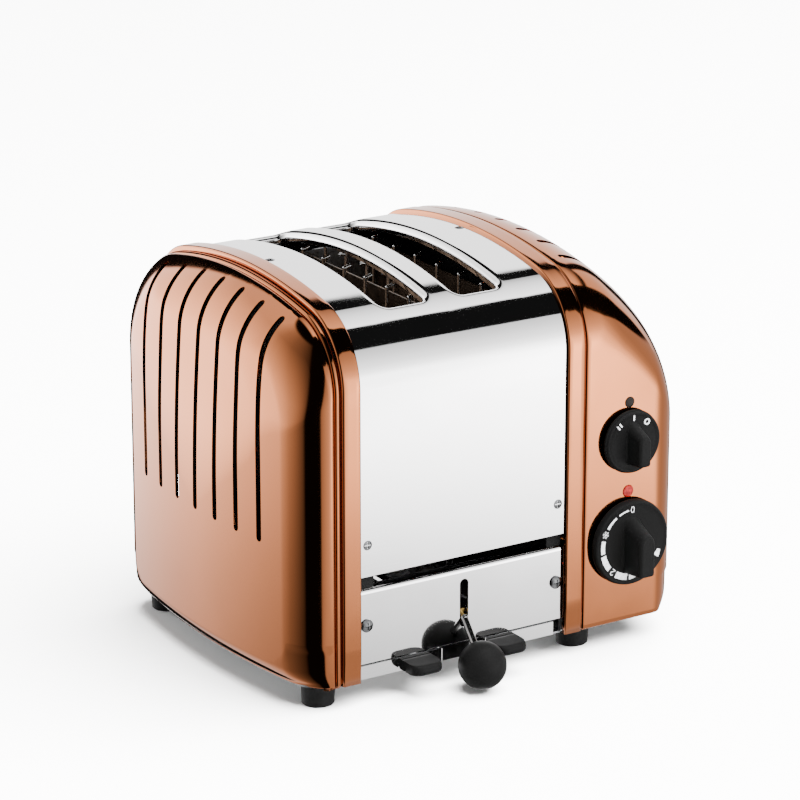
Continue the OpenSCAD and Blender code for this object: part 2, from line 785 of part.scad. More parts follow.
// Upright plate behind the right cap's front wall, on the floor pan.
module control_bracket() {
    plate = [bracket_y, bracket_y + bracket_sheet];
    color("silver") place() difference() {
        union() {
            block(bracket_x, plate, [foot_height + sheet, index_z + 8]);
            block(bracket_foot_x, [bracket_y, bracket_y + 18],
                [foot_height + sheet, foot_height + 2 * sheet]);
        }
        for (z = [timer_z, selector_z])
            y_rod(knob_x, plate[0] - 1, plate[1] + 1, z, neck_radius + neck_gap / 2);
        y_rod(knob_x, plate[0] - 1, plate[1] + 1, lens_z, lens_radius + neck_gap / 2);
        y_rod(knob_x, plate[0] - 1, plate[1] + 1, index_z, index_radius + neck_gap / 2);
    }
}
body_front = bracket_y + bracket_sheet;

// Width, height and depth of each control's housing.
selector_box = [34, 30, 30];
timer_box = [42, 42, 26];
bell_radius = 16;
bell_back = timer_box[2] + 12;
shaft_depth = 15;

// A control's housing with its neck through the cap and a bore for the shaft.
module control_body(z, box) {
    difference() {
        union() {
            block([knob_x - box[0] / 2, knob_x + box[0] / 2], [body_front, body_front + box[2]],
                [z - box[1] / 2, z + box[1] / 2]);
            y_rod(knob_x, -cap_front, body_front + 1, z, neck_radius);
        }
        y_rod(knob_x, -cap_front - 1, body_front + shaft_depth + 1, z, shaft_radius + running_fit);
    }
}
module selector_switch() { color("#dddddd") place() control_body(selector_z, selector_box); }
module timer_body() {
    color("#999999") place() {
        control_body(timer_z, timer_box);
        // Bell and spring case behind the clockwork.
        y_rod(knob_x, body_front + timer_box[2] - eps, body_front + bell_back, timer_z, bell_radius);
    }
}
module control_shaft(z, reach) {
    y_rod(knob_x, -cap_front - reach, body_front + shaft_depth, z, shaft_radius);
}
module selector_shaft() { color("silver") place() control_shaft(selector_z, 10); }
module timer_shaft() { color("silver") place() control_shaft(timer_z, 12); }

// Skirted knob: a shallow dished skirt and an upright bar grip.
module knob(z, radius, skirt, grip, width) {
    back = -cap_front - knob_gap;
    difference() {
        union() {
            translate([knob_x, back, z]) rotate([90, 0, 0]) rotate_extrude() polygon([
                [0, 0], [radius, 0], [radius, skirt * 0.45], [radius * 0.9, skirt * 0.85],
                [radius * 0.55, skirt], [0, skirt]
            ]);
            intersection() {
                translate([knob_x, back, z]) rotate([90, 0, 0]) cylinder(h = grip, r = radius * 0.92);
                block([knob_x - width / 2, knob_x + width / 2], [back - grip, back - 1],
                    [z - radius * 0.92, z + radius * 0.72]);
            }
        }
        y_rod(knob_x, back - grip * 0.6, back + 1, z, shaft_radius);
    }
}
module selector_knob() { color(dark) place() knob(selector_z, selector_radius, 5.5, 17, 9); }
module timer_knob() { color(dark) place() knob(timer_z, timer_radius, 6.5, 21, 11); }

module indicator_lens() {
    color("red") place() {
        y_rod(knob_x, -cap_front - 0.5, body_front, lens_z, lens_radius);
    }
}
module lamp_holder() {
    color("#eeeeee") place() y_rod(knob_x, body_front, body_front + 14, lens_z, lens_radius + 1);
}
module index_plug() {
    color(dark) place() y_rod(knob_x, -cap_front - 0.5, body_front + 2, index_z, index_radius);
}

terminal_half = 14;
terminal_pitch = 8;
terminal_height = 14;
terminal_y = [half_depth - 48.5, half_depth - 22.5];
terminal_z = [foot_height + sheet, foot_height + sheet + terminal_height];
terminal_bore = 2.4;
terminal_bore_depth = 6;
lead_hole = [half_depth - 36.5, 45];
lead_radius = 1.4;
lead_gap = 0.3;
module terminal_block() {
    color("#eeeeee") place() difference() {
        block([gland_x - terminal_half, gland_x + terminal_half], terminal_y, terminal_z);
        for (i = [-1, 0, 1])
            translate([
                gland_x + i * terminal_pitch,
                (terminal_y[0] + terminal_y[1]) / 2,
                terminal_z[1] - terminal_bore_depth
            ])
                cylinder(h = terminal_bore_depth + 2, r = terminal_bore);
    }
}
// Bush that the supply cord would enter by; its bore takes a round cord.
module cord_gland() {
    color(dark) place() difference() {
        union() {
            y_rod(gland_x, cap_front - gland_depth, cap_front + gland_reach, gland_z, gland_radius);
            y_rod(gland_x, cap_front + sheet_gap, cap_front + gland_collar, gland_z, gland_radius + 2.5);
            y_rod(gland_x, cap_inside - gland_collar, cap_inside, gland_z, gland_radius + 2.5);
        }
        y_rod(gland_x, cap_front - gland_depth - 1, cap_front + gland_reach + 1, gland_z, gland_bore);
    }
}
// Insulated leads, each a chain of straight runs.
module lead(points) {
    for (i = [0 : len(points) - 2]) bar(points[i], points[i + 1], lead_radius);
    for (i = [1 : len(points) - 2]) translate(points[i]) sphere(lead_radius + bend_swell);
}
module internal_leads() {
    low = foot_height + sheet + 8;
    high = low + 4;
    start = terminal_y[0] - lead_gap;
    run_y = -40;
    switch_x = knob_x - 14;
    timer_back = body_front + timer_box[2] + lead_gap;
    switch_back = body_front + selector_box[2] + lead_gap;
    turn_y = switch_back + 4;
    color("firebrick") place() {
        // Terminal block to the back of the timer.
        lead([[gland_x - terminal_pitch, start, low], [gland_x - terminal_pitch, -16, low],
              [knob_x + 10, run_y, low],
              [knob_x + 10, run_y, timer_z], [knob_x + 10, body_front + bell_back + lead_gap, timer_z]]);
        // Timer to selector.
        lead([[switch_x, timer_back, timer_z + 16], [switch_x, turn_y, timer_z + 16],
              [switch_x, turn_y, selector_z - 8], [switch_x, switch_back, selector_z - 8]]);
        // Terminal block through the chassis plate toward the elements.
        lead([[gland_x, start, high], [gland_x, start - 7.7, high], [steel_right + 6, start - 7.7, high],
              [steel_right + 6, lead_hole[0], lead_hole[1]], [steel_right - 8, lead_hole[0], lead_hole[1]]]);
    }
}

// Tapered foot with a recess for its screw.
module foot(x, y) {
    translate([x, y, 0]) difference() {
        rotate_extrude() polygon([
            [0, 0], [foot_radius - 1.2, 0], [foot_radius - 0.6, 0.6],
            [foot_radius, foot_height], [0, foot_height]
        ]);
        translate([0, 0, -1]) cylinder(h = foot_height + 2, r = screw_radius + screw_gap);
        translate([0, 0, -1]) cylinder(h = foot_height / 2 + 1, r = screw_head_radius + 0.6);
    }
}
module foot_front_left() { color(dark) place() foot(foot_x[0], -foot_y); }
module foot_front_right() { color(dark) place() foot(foot_x[1], -foot_y); }
module foot_rear_left() { color(dark) place() foot(foot_x[0], foot_y); }
module foot_rear_right() { color(dark) place() foot(foot_x[1], foot_y); }

module foot_screws() {
    color("silver") place() for (x = foot_x, y = [-foot_y, foot_y])
        translate([x, y, foot_height / 2]) mirror([0, 0, 1]) pan_screw(foot_height / 2 + sheet + 1.5);
}
module top_screws() {
    color("silver") place() for (x = cover_screw_x) translate([x, 0, roof_height]) pan_screw(screw_length);
}
module side_screws(z) {
    for (x = cover_screw_x) {
        translate([x, -half_depth, z]) rotate([90, 0, 0]) pan_screw(screw_length);
        translate([x, half_depth, z]) rotate([-90, 0, 0]) pan_screw(screw_length);
    }
}
module cover_screws() { color("silver") place() side_screws(cover_screw_z); }
module panel_screws() { color("silver") place() side_screws(panel_screw_z); }

body_cover();
lower_front_panel();
lower_rear_panel();
left_end_cap();
right_end_cap();
left_trim_band();
right_trim_band();
base_plate();
tray_centre_strip();
left_chassis_plate();
right_chassis_plate();
front_baffle();
rear_baffle();
element_left();
element_centre();
element_right();
guard_wires_1();
guard_wires_2();
guard_wires_3();
guard_wires_4();
guide_rods();
pivot_bracket();
lever_pivot_pin();
lever_arm();
lever_rod();
lever_ball();
lever_collar();
carriage_bar();
bread_carrier_left();
bread_carrier_right();
crumb_tray();
tray_grip_left();
tray_grip_right();
control_bracket();
selector_switch();
selector_shaft();
selector_knob();
timer_body();
timer_shaft();
timer_knob();
indicator_lens();
lamp_holder();
index_plug();
terminal_block();
cord_gland();
internal_leads();
foot_front_left();
foot_front_right();
foot_rear_left();
foot_rear_right();
foot_screws();
top_screws();
cover_screws();
panel_screws();
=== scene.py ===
import bpy
import numpy as np
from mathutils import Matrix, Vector


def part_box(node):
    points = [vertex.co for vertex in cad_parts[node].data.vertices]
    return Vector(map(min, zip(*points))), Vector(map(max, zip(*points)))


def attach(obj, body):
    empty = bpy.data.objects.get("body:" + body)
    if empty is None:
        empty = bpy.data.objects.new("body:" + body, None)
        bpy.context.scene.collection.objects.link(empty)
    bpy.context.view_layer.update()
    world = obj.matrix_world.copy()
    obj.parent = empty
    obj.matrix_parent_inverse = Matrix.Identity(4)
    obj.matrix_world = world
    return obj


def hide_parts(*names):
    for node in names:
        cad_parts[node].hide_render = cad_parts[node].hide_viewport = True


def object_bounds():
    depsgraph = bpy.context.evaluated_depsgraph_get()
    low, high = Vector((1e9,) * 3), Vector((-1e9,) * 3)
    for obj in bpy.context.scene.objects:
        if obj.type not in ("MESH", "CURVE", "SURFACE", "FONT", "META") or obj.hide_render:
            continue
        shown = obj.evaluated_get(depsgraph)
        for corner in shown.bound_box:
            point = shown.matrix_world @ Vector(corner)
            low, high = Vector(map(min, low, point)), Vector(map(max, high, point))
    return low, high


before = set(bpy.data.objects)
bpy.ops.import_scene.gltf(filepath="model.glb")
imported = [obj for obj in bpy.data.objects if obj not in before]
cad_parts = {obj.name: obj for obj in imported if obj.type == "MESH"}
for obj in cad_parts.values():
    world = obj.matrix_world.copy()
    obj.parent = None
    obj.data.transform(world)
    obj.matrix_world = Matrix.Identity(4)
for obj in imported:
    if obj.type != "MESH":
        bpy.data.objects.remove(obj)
cad_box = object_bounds()
MM = 0.001


# ---- Studio -------------------------------------------------------------------------
# A pale floor under one large lamp. The sky is a ring of bright cards with dark gaps
# between them and a panel overhead, as polished metal is lit. The camera stands at the
# front left.
def linear(hex_colour):
    """Linear RGBA of an sRGB hex colour: each channel goes through the sRGB curve."""
    srgb = np.array([int(hex_colour[i : i + 2], 16) for i in (1, 3, 5)]) / 255
    value = np.where(srgb <= 0.04045, srgb / 12.92, ((srgb + 0.055) / 1.055) ** 2.4)
    return (*value.tolist(), 1.0)


def add_node(tree, kind, inputs=None, **settings):
    """One shader node: settings are its properties, inputs are values or sockets."""
    node = tree.nodes.new("ShaderNode" + kind)
    for name, value in settings.items():
        setattr(node, name, value)
    for name, value in (inputs or {}).items():
        if isinstance(value, bpy.types.NodeSocket):
            tree.links.new(value, node.inputs[name])
        else:
            node.inputs[name].default_value = value
    return node


world = bpy.data.worlds.new("studio")
bpy.context.scene.world = world
world.use_nodes = True
sky = world.node_tree
sky.nodes.clear()
way = add_node(sky, "TexCoord").outputs["Generated"]
parts = add_node(sky, "SeparateXYZ", {"Vector": way})
way_x, way_y, way_z = (parts.outputs[k] for k in "XYZ")


def combine(kind, *values):
    """Sky values joined from left to right by one kind of arithmetic step."""
    total = values[0]
    for value in values[1:]:
        total = add_node(sky, "Math", {0: total, 1: value}, operation=kind).outputs[0]
    return total


def between(value, low, high, soft):
    """1 inside low..high and 0 outside, with edges that are soft wide."""
    steps = []
    for edge, before, after in ((low, 0.0, 1.0), (high, 1.0, 0.0)):
        spread = {"Value": value, "From Min": edge - soft, "From Max": edge + soft,
                  "To Min": before, "To Max": after}
        step = add_node(sky, "MapRange", spread, interpolation_type="SMOOTHSTEP")
        steps.append(step.outputs[0])
    return combine("MULTIPLY", *steps)


def ramp(value, points):
    """Result read off a line through (value, result) points, level outside them."""
    first, last = points[0][0], points[-1][0]
    share = add_node(sky, "MapRange", {"Value": value, "From Min": first, "From Max": last})
    node = add_node(sky, "ValToRGB", {"Fac": share.outputs[0]})
    stops = node.color_ramp.elements
    for stop in points[1:-1]:
        stops.new((stop[0] - first) / (last - first))
    for stop, (_, result) in zip(stops, points):
        stop.color = (result, result, result, 1)
    return node.outputs[0]


# Azimuth in degrees: 0 is the front, 90 the control end, 180 the back, -90 the left.
azimuth = combine("ARCTAN2", way_x, combine("MULTIPLY", way_y, -1.0))
azimuth = combine("MULTIPLY", azimuth, 180 / np.pi)
# The front card is brightest low down and where the flat front faces mirror it. Its top
# edge falls toward the control end.
front_light = ramp(way_z, [(-0.38, 1.1), (-0.357, 2.0), (-0.335, 4.6), (-0.3, 10.0), (-0.2, 10.0),
                           (-0.08, 7.0), (0.1, 3.6), (0.225, 2.5), (0.39, 1.8), (0.47, 1.5),
                           (0.58, 1.2)])
front_most = ramp(azimuth, [(-17, 0.8), (20, 3.0), (31, 6.0), (34.5, 10.0), (37, 5.2), (44, 2.5),
                            (52, 1.45), (62, 1.1), (118, 1.1)])
front_top = ramp(azimuth, [(39, 0.59), (46, 0.44), (53, 0.33), (66, 0.25), (78, 0.165),
                           (89, 0.115), (100, 0.07), (106, 0.0)])
under_top = between(combine("SUBTRACT", way_z, front_top), -3.0, 0.0, 0.012)
front_card = combine("MULTIPLY", between(azimuth, -17, 118, 2.0), under_top,
                     combine("MINIMUM", front_light, front_most))
# A narrow card at the control end leans over toward the front.
lean = ramp(way_z, [(0.07, 103), (0.14, 102), (0.29, 97), (0.52, 89), (0.72, 82)])
end_card = combine("MULTIPLY", between(combine("SUBTRACT", azimuth, lean), 0.0, 400, 2.0),
                   between(azimuth, 60, 119, 2.0), between(way_z, 0.0, 0.7, 0.02), 2.2)
# The back card is upright and even.
back_card = combine("MULTIPLY", between(azimuth, 131, 158, 2.0),
                    between(way_z, -2.0, 0.59, 0.012), 2.6)
# The left card stands far round to the back, fades toward the camera and reaches higher.
left_card = combine("MULTIPLY", between(azimuth, -177, -50, 2.0), between(way_z, -2.0, 0.86, 0.02),
                    ramp(azimuth, [(-150, 7.0), (-138, 5.5), (-122, 3.4), (-100, 1.9), (-80, 1.1),
                                   (-62, 0.4), (-56, 0.0)]),
                    ramp(way_z, [(-0.38, 0.22), (-0.355, 0.34), (-0.31, 0.75), (-0.28, 1.0)]),
                    ramp(way_z, [(-0.1, 1.0), (0.62, 0.3)]))
# Overhead light, a rectangle on a high ceiling.
ceiling = combine("MAXIMUM", way_z, 0.05)
over_x, over_y = (combine("DIVIDE", part, ceiling) for part in (way_x, way_y))
overhead = combine("MULTIPLY", between(over_y, -0.16, 0.55, 0.02),
                   between(over_x, -0.1, 0.78, 0.12), between(way_z, 0.3, 2.0, 0.01),
                   ramp(over_y, [(-0.16, 3.0), (0.55, 0.9)]))
# The dark gaps keep a trace of light.
trace = 0.008
brightness = combine("ADD", front_card, end_card, back_card, left_card, overhead, trace)
background = add_node(sky, "Background", {"Color": brightness, "Strength": 1.0})
output = sky.nodes.new("ShaderNodeOutputWorld")
sky.links.new(background.outputs[0], output.inputs["Surface"])

floor_mesh = bpy.data.meshes.new("floor")
floor_mesh.from_pydata([(-6, -6, 0), (6, -6, 0), (6, 6, 0), (-6, 6, 0)], [], [(0, 1, 2, 3)])
floor = bpy.data.objects.new("floor", floor_mesh)
bpy.context.collection.objects.link(floor)
floor.visible_glossy = False
# Matt white paper.
pale = bpy.data.materials.new("pale_paper")
pale.use_nodes = True
paper = pale.node_tree.nodes["Principled BSDF"].inputs
paper["Base Color"].default_value = linear("#f4f4f3")
paper["Roughness"].default_value = 0.9
floor_mesh.materials.append(pale)


def stand(thing, place, way):
    """Puts a lamp or camera at a place and points it along way."""
    thing.location = place
    thing.rotation_mode = "QUATERNION"
    thing.rotation_quaternion = way.to_track_quat("-Z", "Y")
    bpy.context.collection.objects.link(thing)


# A square lamp high over the object, which metals don't mirror.
lamp_data = bpy.data.lights.new("top_light", "AREA")
lamp_data.size, lamp_data.energy = 5.0, 4200
lamp = bpy.data.objects.new("top_light", lamp_data)
lamp.visible_glossy = False
lamp_place = Vector((1.2, -1.2, 4.0))
stand(lamp, lamp_place, (cad_box[0] + cad_box[1]) / 2 - lamp_place)

# A long lens on a 36 mm sensor, turned from the front to the left and up.
camera_data = bpy.data.cameras.new("camera")
camera_data.sensor_width, camera_data.lens = 36, 169.0065
camera_data.clip_end = 50
camera = bpy.data.objects.new("camera", camera_data)
bpy.context.scene.camera = camera
body_low, body_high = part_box("body_cover")
mid_y = (body_low.y + body_high.y) / 2
aim, distance = Vector((-0.00099, mid_y, 0.1266)), 2.0544
turn, rise = np.radians(32.15), np.radians(18.15)
back = Vector((-np.sin(turn) * np.cos(rise), -np.cos(turn) * np.cos(rise), np.sin(rise)))
stand(camera, aim + back * distance, -back)


# ---- Body cover ---------------------------------------------------------------------
# One sheet of polished stainless steel, folded over the crown, with two bread slots whose
# lips are rolled down. Its section is a crown arc and two shoulder arcs on straight sides.
HALF_DEPTH = (body_high.y - body_low.y) / 2
ROOF = body_high.z
SHEET = 1.2 * MM
CROWN, SHOULDER = 298 * MM, 38 * MM
shoulder_y = HALF_DEPTH - SHOULDER
crown_z = ROOF - CROWN
shoulder_z = crown_z + np.sqrt((CROWN - SHOULDER) ** 2 - shoulder_y**2)
fold = np.arcsin(shoulder_y / (CROWN - SHOULDER))
SHOULDER_STEPS, CROWN_STEPS = 28, 24


def roof_height(y):
    """Height of the roof above y: the crown circle inside the fold, the shoulder outside."""
    y = np.abs(y)
    crown = crown_z + np.sqrt(CROWN**2 - y**2)
    side = np.maximum(SHOULDER**2 - (y - shoulder_y) ** 2, 0)
    return np.where(y < CROWN * np.sin(fold), crown, shoulder_z + np.sqrt(side))


def arch(out, foot, sides=8):
    """Section from the front foot over the roof to the rear foot, as (y, z, normal y,
    normal z): straight side, shoulder arc, crown arc and the same mirrored."""
    rise = np.linspace(foot, shoulder_z, sides + 1)[:-1]
    side = np.stack([-(HALF_DEPTH + out) + 0 * rise, rise, -1 + 0 * rise, 0 * rise], 1)
    tilt = np.linspace(np.pi / 2, fold, SHOULDER_STEPS + 1)[:-1]
    reach = SHOULDER + out
    bend = np.stack([-shoulder_y - reach * np.sin(tilt), shoulder_z + reach * np.cos(tilt),
                     -np.sin(tilt), np.cos(tilt)], 1)
    tilt = np.linspace(fold, 0, CROWN_STEPS + 1)
    reach = CROWN + out
    top = np.stack([-reach * np.sin(tilt), crown_z + reach * np.cos(tilt),
                    -np.sin(tilt), np.cos(tilt)], 1)
    half = np.concatenate([side, bend, top])
    return np.concatenate([half, (half * [-1, 1, -1, 1])[-2::-1]])


def grid_faces(rows, columns, close_rows=False, close_columns=False):
    """Quads of a rows by columns grid of points, wrapping round where it is closed."""
    r = np.arange(rows if close_rows else rows - 1)
    c = np.arange(columns if close_columns else columns - 1)
    r, c = (a.ravel() for a in np.meshgrid(r, c, indexing="ij"))
    r1, c1 = (r + 1) % rows, (c + 1) % columns
    quads = [r * columns + c, r1 * columns + c, r1 * columns + c1, r * columns + c1]
    return np.stack(quads, 1)


def grid(points, kept=None, flip=False, closed=False):
    """Patch from a grid of points: its kept quads, turned round on flip."""
    quads = grid_faces(*points.shape[:2], close_columns=closed)
    if kept is not None:
        quads = quads[kept.ravel()]
    return points, quads[:, ::-1] if flip else quads


def make_piece(name, patches, body, finish, replaced=(), weld=0.00001, smooth=True):
    """One object from patches of (points, quads) in the shared frame. Points of all patches
    that meet are welded, and the whole rides on its body."""
    points, quads, count = [], [], 0
    for patch_points, patch_quads in patches:
        patch_points = np.asarray(patch_points, float).reshape(-1, 3)
        points.append(patch_points)
        quads.append(np.asarray(patch_quads) + count)
        count += len(patch_points)
    points, quads = np.concatenate(points), np.concatenate(quads)
    if weld:
        key = np.round(points / weld).astype(np.int64)
        _, keep, index = np.unique(key, axis=0, return_index=True, return_inverse=True)
        points, quads = points[keep], index.reshape(-1)[quads]
    # Quads folded to a line are dropped, and a corner that repeats is left out.
    whole = (np.diff(np.sort(quads, 1), axis=1) > 0).sum(1) >= 2
    faces = []
    for quad in quads[whole].tolist():
        ring = [v for i, v in enumerate(quad) if v != quad[i - 1]]
        if len(ring) > 2 and len(set(ring)) == len(ring):
            faces.append(ring)
    mesh = bpy.data.meshes.new(name)
    mesh.from_pydata(points.tolist(), [], faces)
    mesh.polygons.foreach_set("use_smooth", np.full(len(mesh.polygons), smooth))
    mesh.materials.append(finish)
    mesh.validate()
    piece = bpy.data.objects.new(name, mesh)
    bpy.context.collection.objects.link(piece)
    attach(piece, body)
    if replaced:
        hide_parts(*replaced)
    return piece


def thicken(piece, wall, inward=True, even=True):
    """Gives a sheet its wall, laid inside the drawn face, and breaks its sharp edges."""
    solid = piece.modifiers.new("wall", "SOLIDIFY")
    solid.thickness = wall
    solid.offset = -1 if inward else 1
    solid.use_even_offset = even
    edges = piece.modifiers.new("edges", "BEVEL")
    edges.width, edges.segments = wall / 8, 2
    edges.limit_method, edges.angle_limit = "ANGLE", np.radians(38)
    edges.harden_normals = True


def finish_material(name, metallic=0.0, specular=0.5):
    """A new material, its node tree, its shader's sockets and its Object coordinates."""
    finish = bpy.data.materials.new(name)
    finish.use_nodes = True
    tree = finish.node_tree
    skin = tree.nodes["Principled BSDF"].inputs
    skin["Metallic"].default_value = metallic
    skin["Specular IOR Level"].default_value = specular
    return finish, tree, skin, add_node(tree, "TexCoord").outputs["Object"]


def waver(tree, skin, place, scale, detail, low, high):
    """Lets the roughness wander softly between low and high."""
    clouds = add_node(tree, "TexNoise", {"Vector": place, "Scale": scale, "Detail": detail})
    rough = add_node(tree, "MapRange", {"Value": clouds.outputs["Fac"], "From Min": 0.35,
                                        "From Max": 0.65, "To Min": low, "To Max": high})
    tree.links.new(rough.outputs[0], skin["Roughness"])


def emboss(tree, skin, height, strength, distance):
    """Fine relief that follows a noise."""
    bump = add_node(tree, "Bump", {"Height": height, "Strength": strength, "Distance": distance})
    tree.links.new(bump.outputs[0], skin["Normal"])


# Polished stainless steel: mirror bright, with a faint long grain and a few soft swirls
# from the polishing wheel.
steel, tree, skin, place = finish_material("polished_stainless_steel", metallic=1.0)
skin["Base Color"].default_value = linear("#f3f2f2")
grain = add_node(tree, "Mapping", {"Vector": place, "Scale": (60, 2600, 2600)})
lines = add_node(tree, "TexNoise", {"Vector": grain.outputs[0], "Scale": 1.0, "Detail": 2.0})
emboss(tree, skin, lines.outputs["Fac"], 0.01, 0.0002)
waver(tree, skin, place, 28.0, 3.0, 0.035, 0.07)

cover_middle = (body_low.x + body_high.x) / 2
slot_half = np.array([15, 75]) * MM
slot_corner = 6 * MM
slot_pitch = 45.5 * MM
slot_centres = [cover_middle - slot_pitch / 2, cover_middle + slot_pitch / 2]
frame_half = np.array([slot_pitch / 2, 84 * MM])
SIDE_POINTS, END_POINTS, CORNER_POINTS = 76, 26, 7
LIP_ROLL, LIP_DEPTH = 3 * MM, 5 * MM


def slot_ring(grow):
    """Outline of a bread slot grown outward by grow: straight runs and corner arcs, with
    the arcs shared half and half between the sides and the ends. Also the ring of the
    same number of points round the slot's rectangular frame, and its y and x runs."""
    angle = np.linspace(0, np.pi / 4, CORNER_POINTS)
    core = slot_half - slot_corner
    radius = slot_corner + grow
    beside = core + radius * np.stack([np.cos(angle), np.sin(angle)], 1)
    above = core + radius * np.stack([np.sin(angle), np.cos(angle)], 1)
    in_arcs = 2 * (CORNER_POINTS - 1)
    run = np.linspace(-1, 1, SIDE_POINTS - in_arcs)[1:-1]
    run = np.stack([core[0] + radius + 0 * run, run * core[1]], 1)
    side = np.concatenate([(beside * [1, -1])[::-1], run, beside])
    run = np.linspace(1, -1, END_POINTS - in_arcs)[1:-1]
    run = np.stack([run * core[0], core[1] + radius + 0 * run], 1)
    end = np.concatenate([above[::-1], run, above * [-1, 1]])
    ring = np.concatenate([side[:-1], end[:-1]])
    frame_y = np.linspace(-1, 1, len(side)) * frame_half[1]
    frame_x = np.linspace(1, -1, len(end)) * frame_half[0]
    outer = np.concatenate([np.stack([frame_half[0] + 0 * frame_y, frame_y], 1)[:-1],
                            np.stack([frame_x, frame_half[1] + 0 * frame_x], 1)[:-1]])
    return np.concatenate([ring, -ring]), np.concatenate([outer, -outer]), frame_y, frame_x


def slot_patch(centre_x):
    """Roof round one slot: rings from the frame in to the lip's roll, then the quarter
    circle of the roll and the short wall below it."""
    start, outer, _, _ = slot_ring(LIP_ROLL)
    rings = [(start + (outer - start) * share, 0.0) for share in (1, 0.75, 0.5, 0.3, 0.15, 0.06, 0)]
    for angle in np.linspace(0, np.pi / 2, 9)[1:]:
        plan = slot_ring(LIP_ROLL * (1 - np.sin(angle)))[0]
        rings.append((plan, LIP_ROLL * (1 - np.cos(angle))))
    rings.append((slot_ring(0)[0], LIP_DEPTH))
    rows = [np.stack([plan[:, 0] + centre_x, plan[:, 1] + mid_y,
                      roof_height(plan[:, 1]) - drop], 1) for plan, drop in rings]
    return grid(np.stack(rows), closed=True)


frame_y, frame_x = slot_ring(0)[2:]


def lay(columns, rows):
    """Patch between the x of each column and the (y, z) of each row of a section."""
    points = np.broadcast_arrays(columns[:, None], rows[:, 0] + mid_y, rows[:, 1])
    return grid(np.stack(points, 2), flip=True)


section = arch(0, body_low.z)
in_front = section[(section[:, 0] < frame_y[0]) & (section[:, 1] > 0)]
edge_row = np.array([[frame_y[0], roof_height(frame_y[0]), 0, 0]])
front_rows = np.concatenate([in_front, edge_row])
over_rows = np.stack([frame_y, roof_height(frame_y)], 1)
rear_rows = (front_rows * [-1, 1, 1, 1])[::-1]
left_columns = np.linspace(body_low.x, slot_centres[0] - frame_half[0], 5)
right_columns = np.linspace(slot_centres[1] + frame_half[0], body_high.x, 5)
slot_columns = [frame_x[::-1] + centre for centre in slot_centres]
every_column = np.concatenate([left_columns[:-1], slot_columns[0][:-1], slot_columns[1],
                               right_columns[1:]])
patches = [lay(every_column, front_rows), lay(every_column, rear_rows),
           lay(left_columns, over_rows), lay(right_columns, over_rows)]
patches += [slot_patch(centre) for centre in slot_centres]
cover = make_piece("cover_sheet", patches, "body", steel, ["body_cover"])
thicken(cover, SHEET)


# ---- Trim bands ---------------------------------------------------------------------
# Two narrow channels of copper-finished steel, bent over the joints between the cover
# and the end caps. Their edges are rounded and their lower ends are folded under.

# Lacquered copper finish on steel. The lacquer wavers a little, so its shine is uneven.
copper, tree, skin, place = finish_material("copper_finish_steel", metallic=1.0)
skin["Base Color"].default_value = linear("#ab6741")
waver(tree, skin, place, 22.0, 3.0, 0.06, 0.11)

BAND, BAND_OUT, FOOT = 11 * MM, 3.2 * MM, 13 * MM
FOLD_RISE, FOLD_STEP = 8.5 * MM, 0.4 * MM


def edge_profile(width, height, radii, tuck):
    """Cross-section of a band as (x, height): up from the tuck, round the first edge,
    across and down the far side, with quarter circles of the two radii."""
    turn = np.linspace(0, np.pi / 2, 7)
    near, far = radii
    rise = np.stack([near - near * np.cos(turn), height - near + near * np.sin(turn)], 1)
    across = np.linspace(near, width - far, 5)[1:-1]
    fall = np.stack([width - far + far * np.sin(turn), height - far + far * np.cos(turn)], 1)
    across = np.stack([across, height + 0 * across], 1)
    return np.concatenate([[[0, tuck]], rise, across, fall, [[width, tuck]]])


def sweep(profile, start_x, direction, foot):
    """Patch of a cross-section carried along the arch. Each point moves out along the
    arch's normal by its height; both lower ends turn in under the body."""
    base = arch(0, foot, sides=24)
    span = profile[:, 1]
    y = base[:, 0] + np.outer(span, base[:, 2])
    z = base[:, 1] + np.outer(span, base[:, 3])
    # A shallow fold line crosses the band just above its lower end.
    tilt = FOLD_STEP * np.clip((foot + FOLD_RISE - z) / (2 * FOLD_STEP), 0, 1)
    y = y - np.sign(y) * tilt
    inward = np.minimum(np.abs(y), HALF_DEPTH - 1.5 * MM) * np.sign(y)
    y = np.concatenate([inward[:, :1], y, inward[:, -1:]], 1)
    z = np.concatenate([z[:, :1], z, z[:, -1:]], 1)
    x = np.repeat(start_x + direction * profile[:, :1], y.shape[1], 1)
    return grid(np.stack([x, y + mid_y, z], 2), flip=direction > 0)


profile = edge_profile(BAND, BAND_OUT, (0.9 * MM, 1.4 * MM), 0.3 * MM)
for side, start, direction in (("left", -87 * MM, -1), ("right", 42 * MM, 1)):
    make_piece(side + "_band_channel", [sweep(profile, start, direction, FOOT)],
               "body", copper, [side + "_trim_band"])


# ---- End caps -----------------------------------------------------------------------
# Deep-drawn copper-finished caps with seven long vents. The left one rolls over into an
# upright end face, the right one is a wide dome. The lower edge is turned in to a flange.
CAP_OUT = 2.8 * MM
CAP_HALF, CAP_TOP, CAP_CROWN = HALF_DEPTH + CAP_OUT, ROOF + CAP_OUT, CROWN + CAP_OUT
CAP_END = cad_box[1].x
BEND, FLANGE = 1.5 * MM, 6 * MM
VENT_COUNT, VENT, VENT_PITCH, VENT_FOOT = 7, 4.2 * MM, 20.4 * MM, 90 * MM
MIDDLE_EDGE = 70 * MM
HEEL_TOP, HEEL_ROUND = 22 * MM, 10 * MM
CREASE_SIDE, CREASE_TOP, CREASE_ROUND = 68 * MM, 36 * MM, 14 * MM


def ease(value, low, high):
    """Smooth step: 0 below low, 1 above high, 3s2 - 2s3 between."""
    share = np.clip((value - low) / (high - low), 0, 1)
    return share * share * (3 - 2 * share)


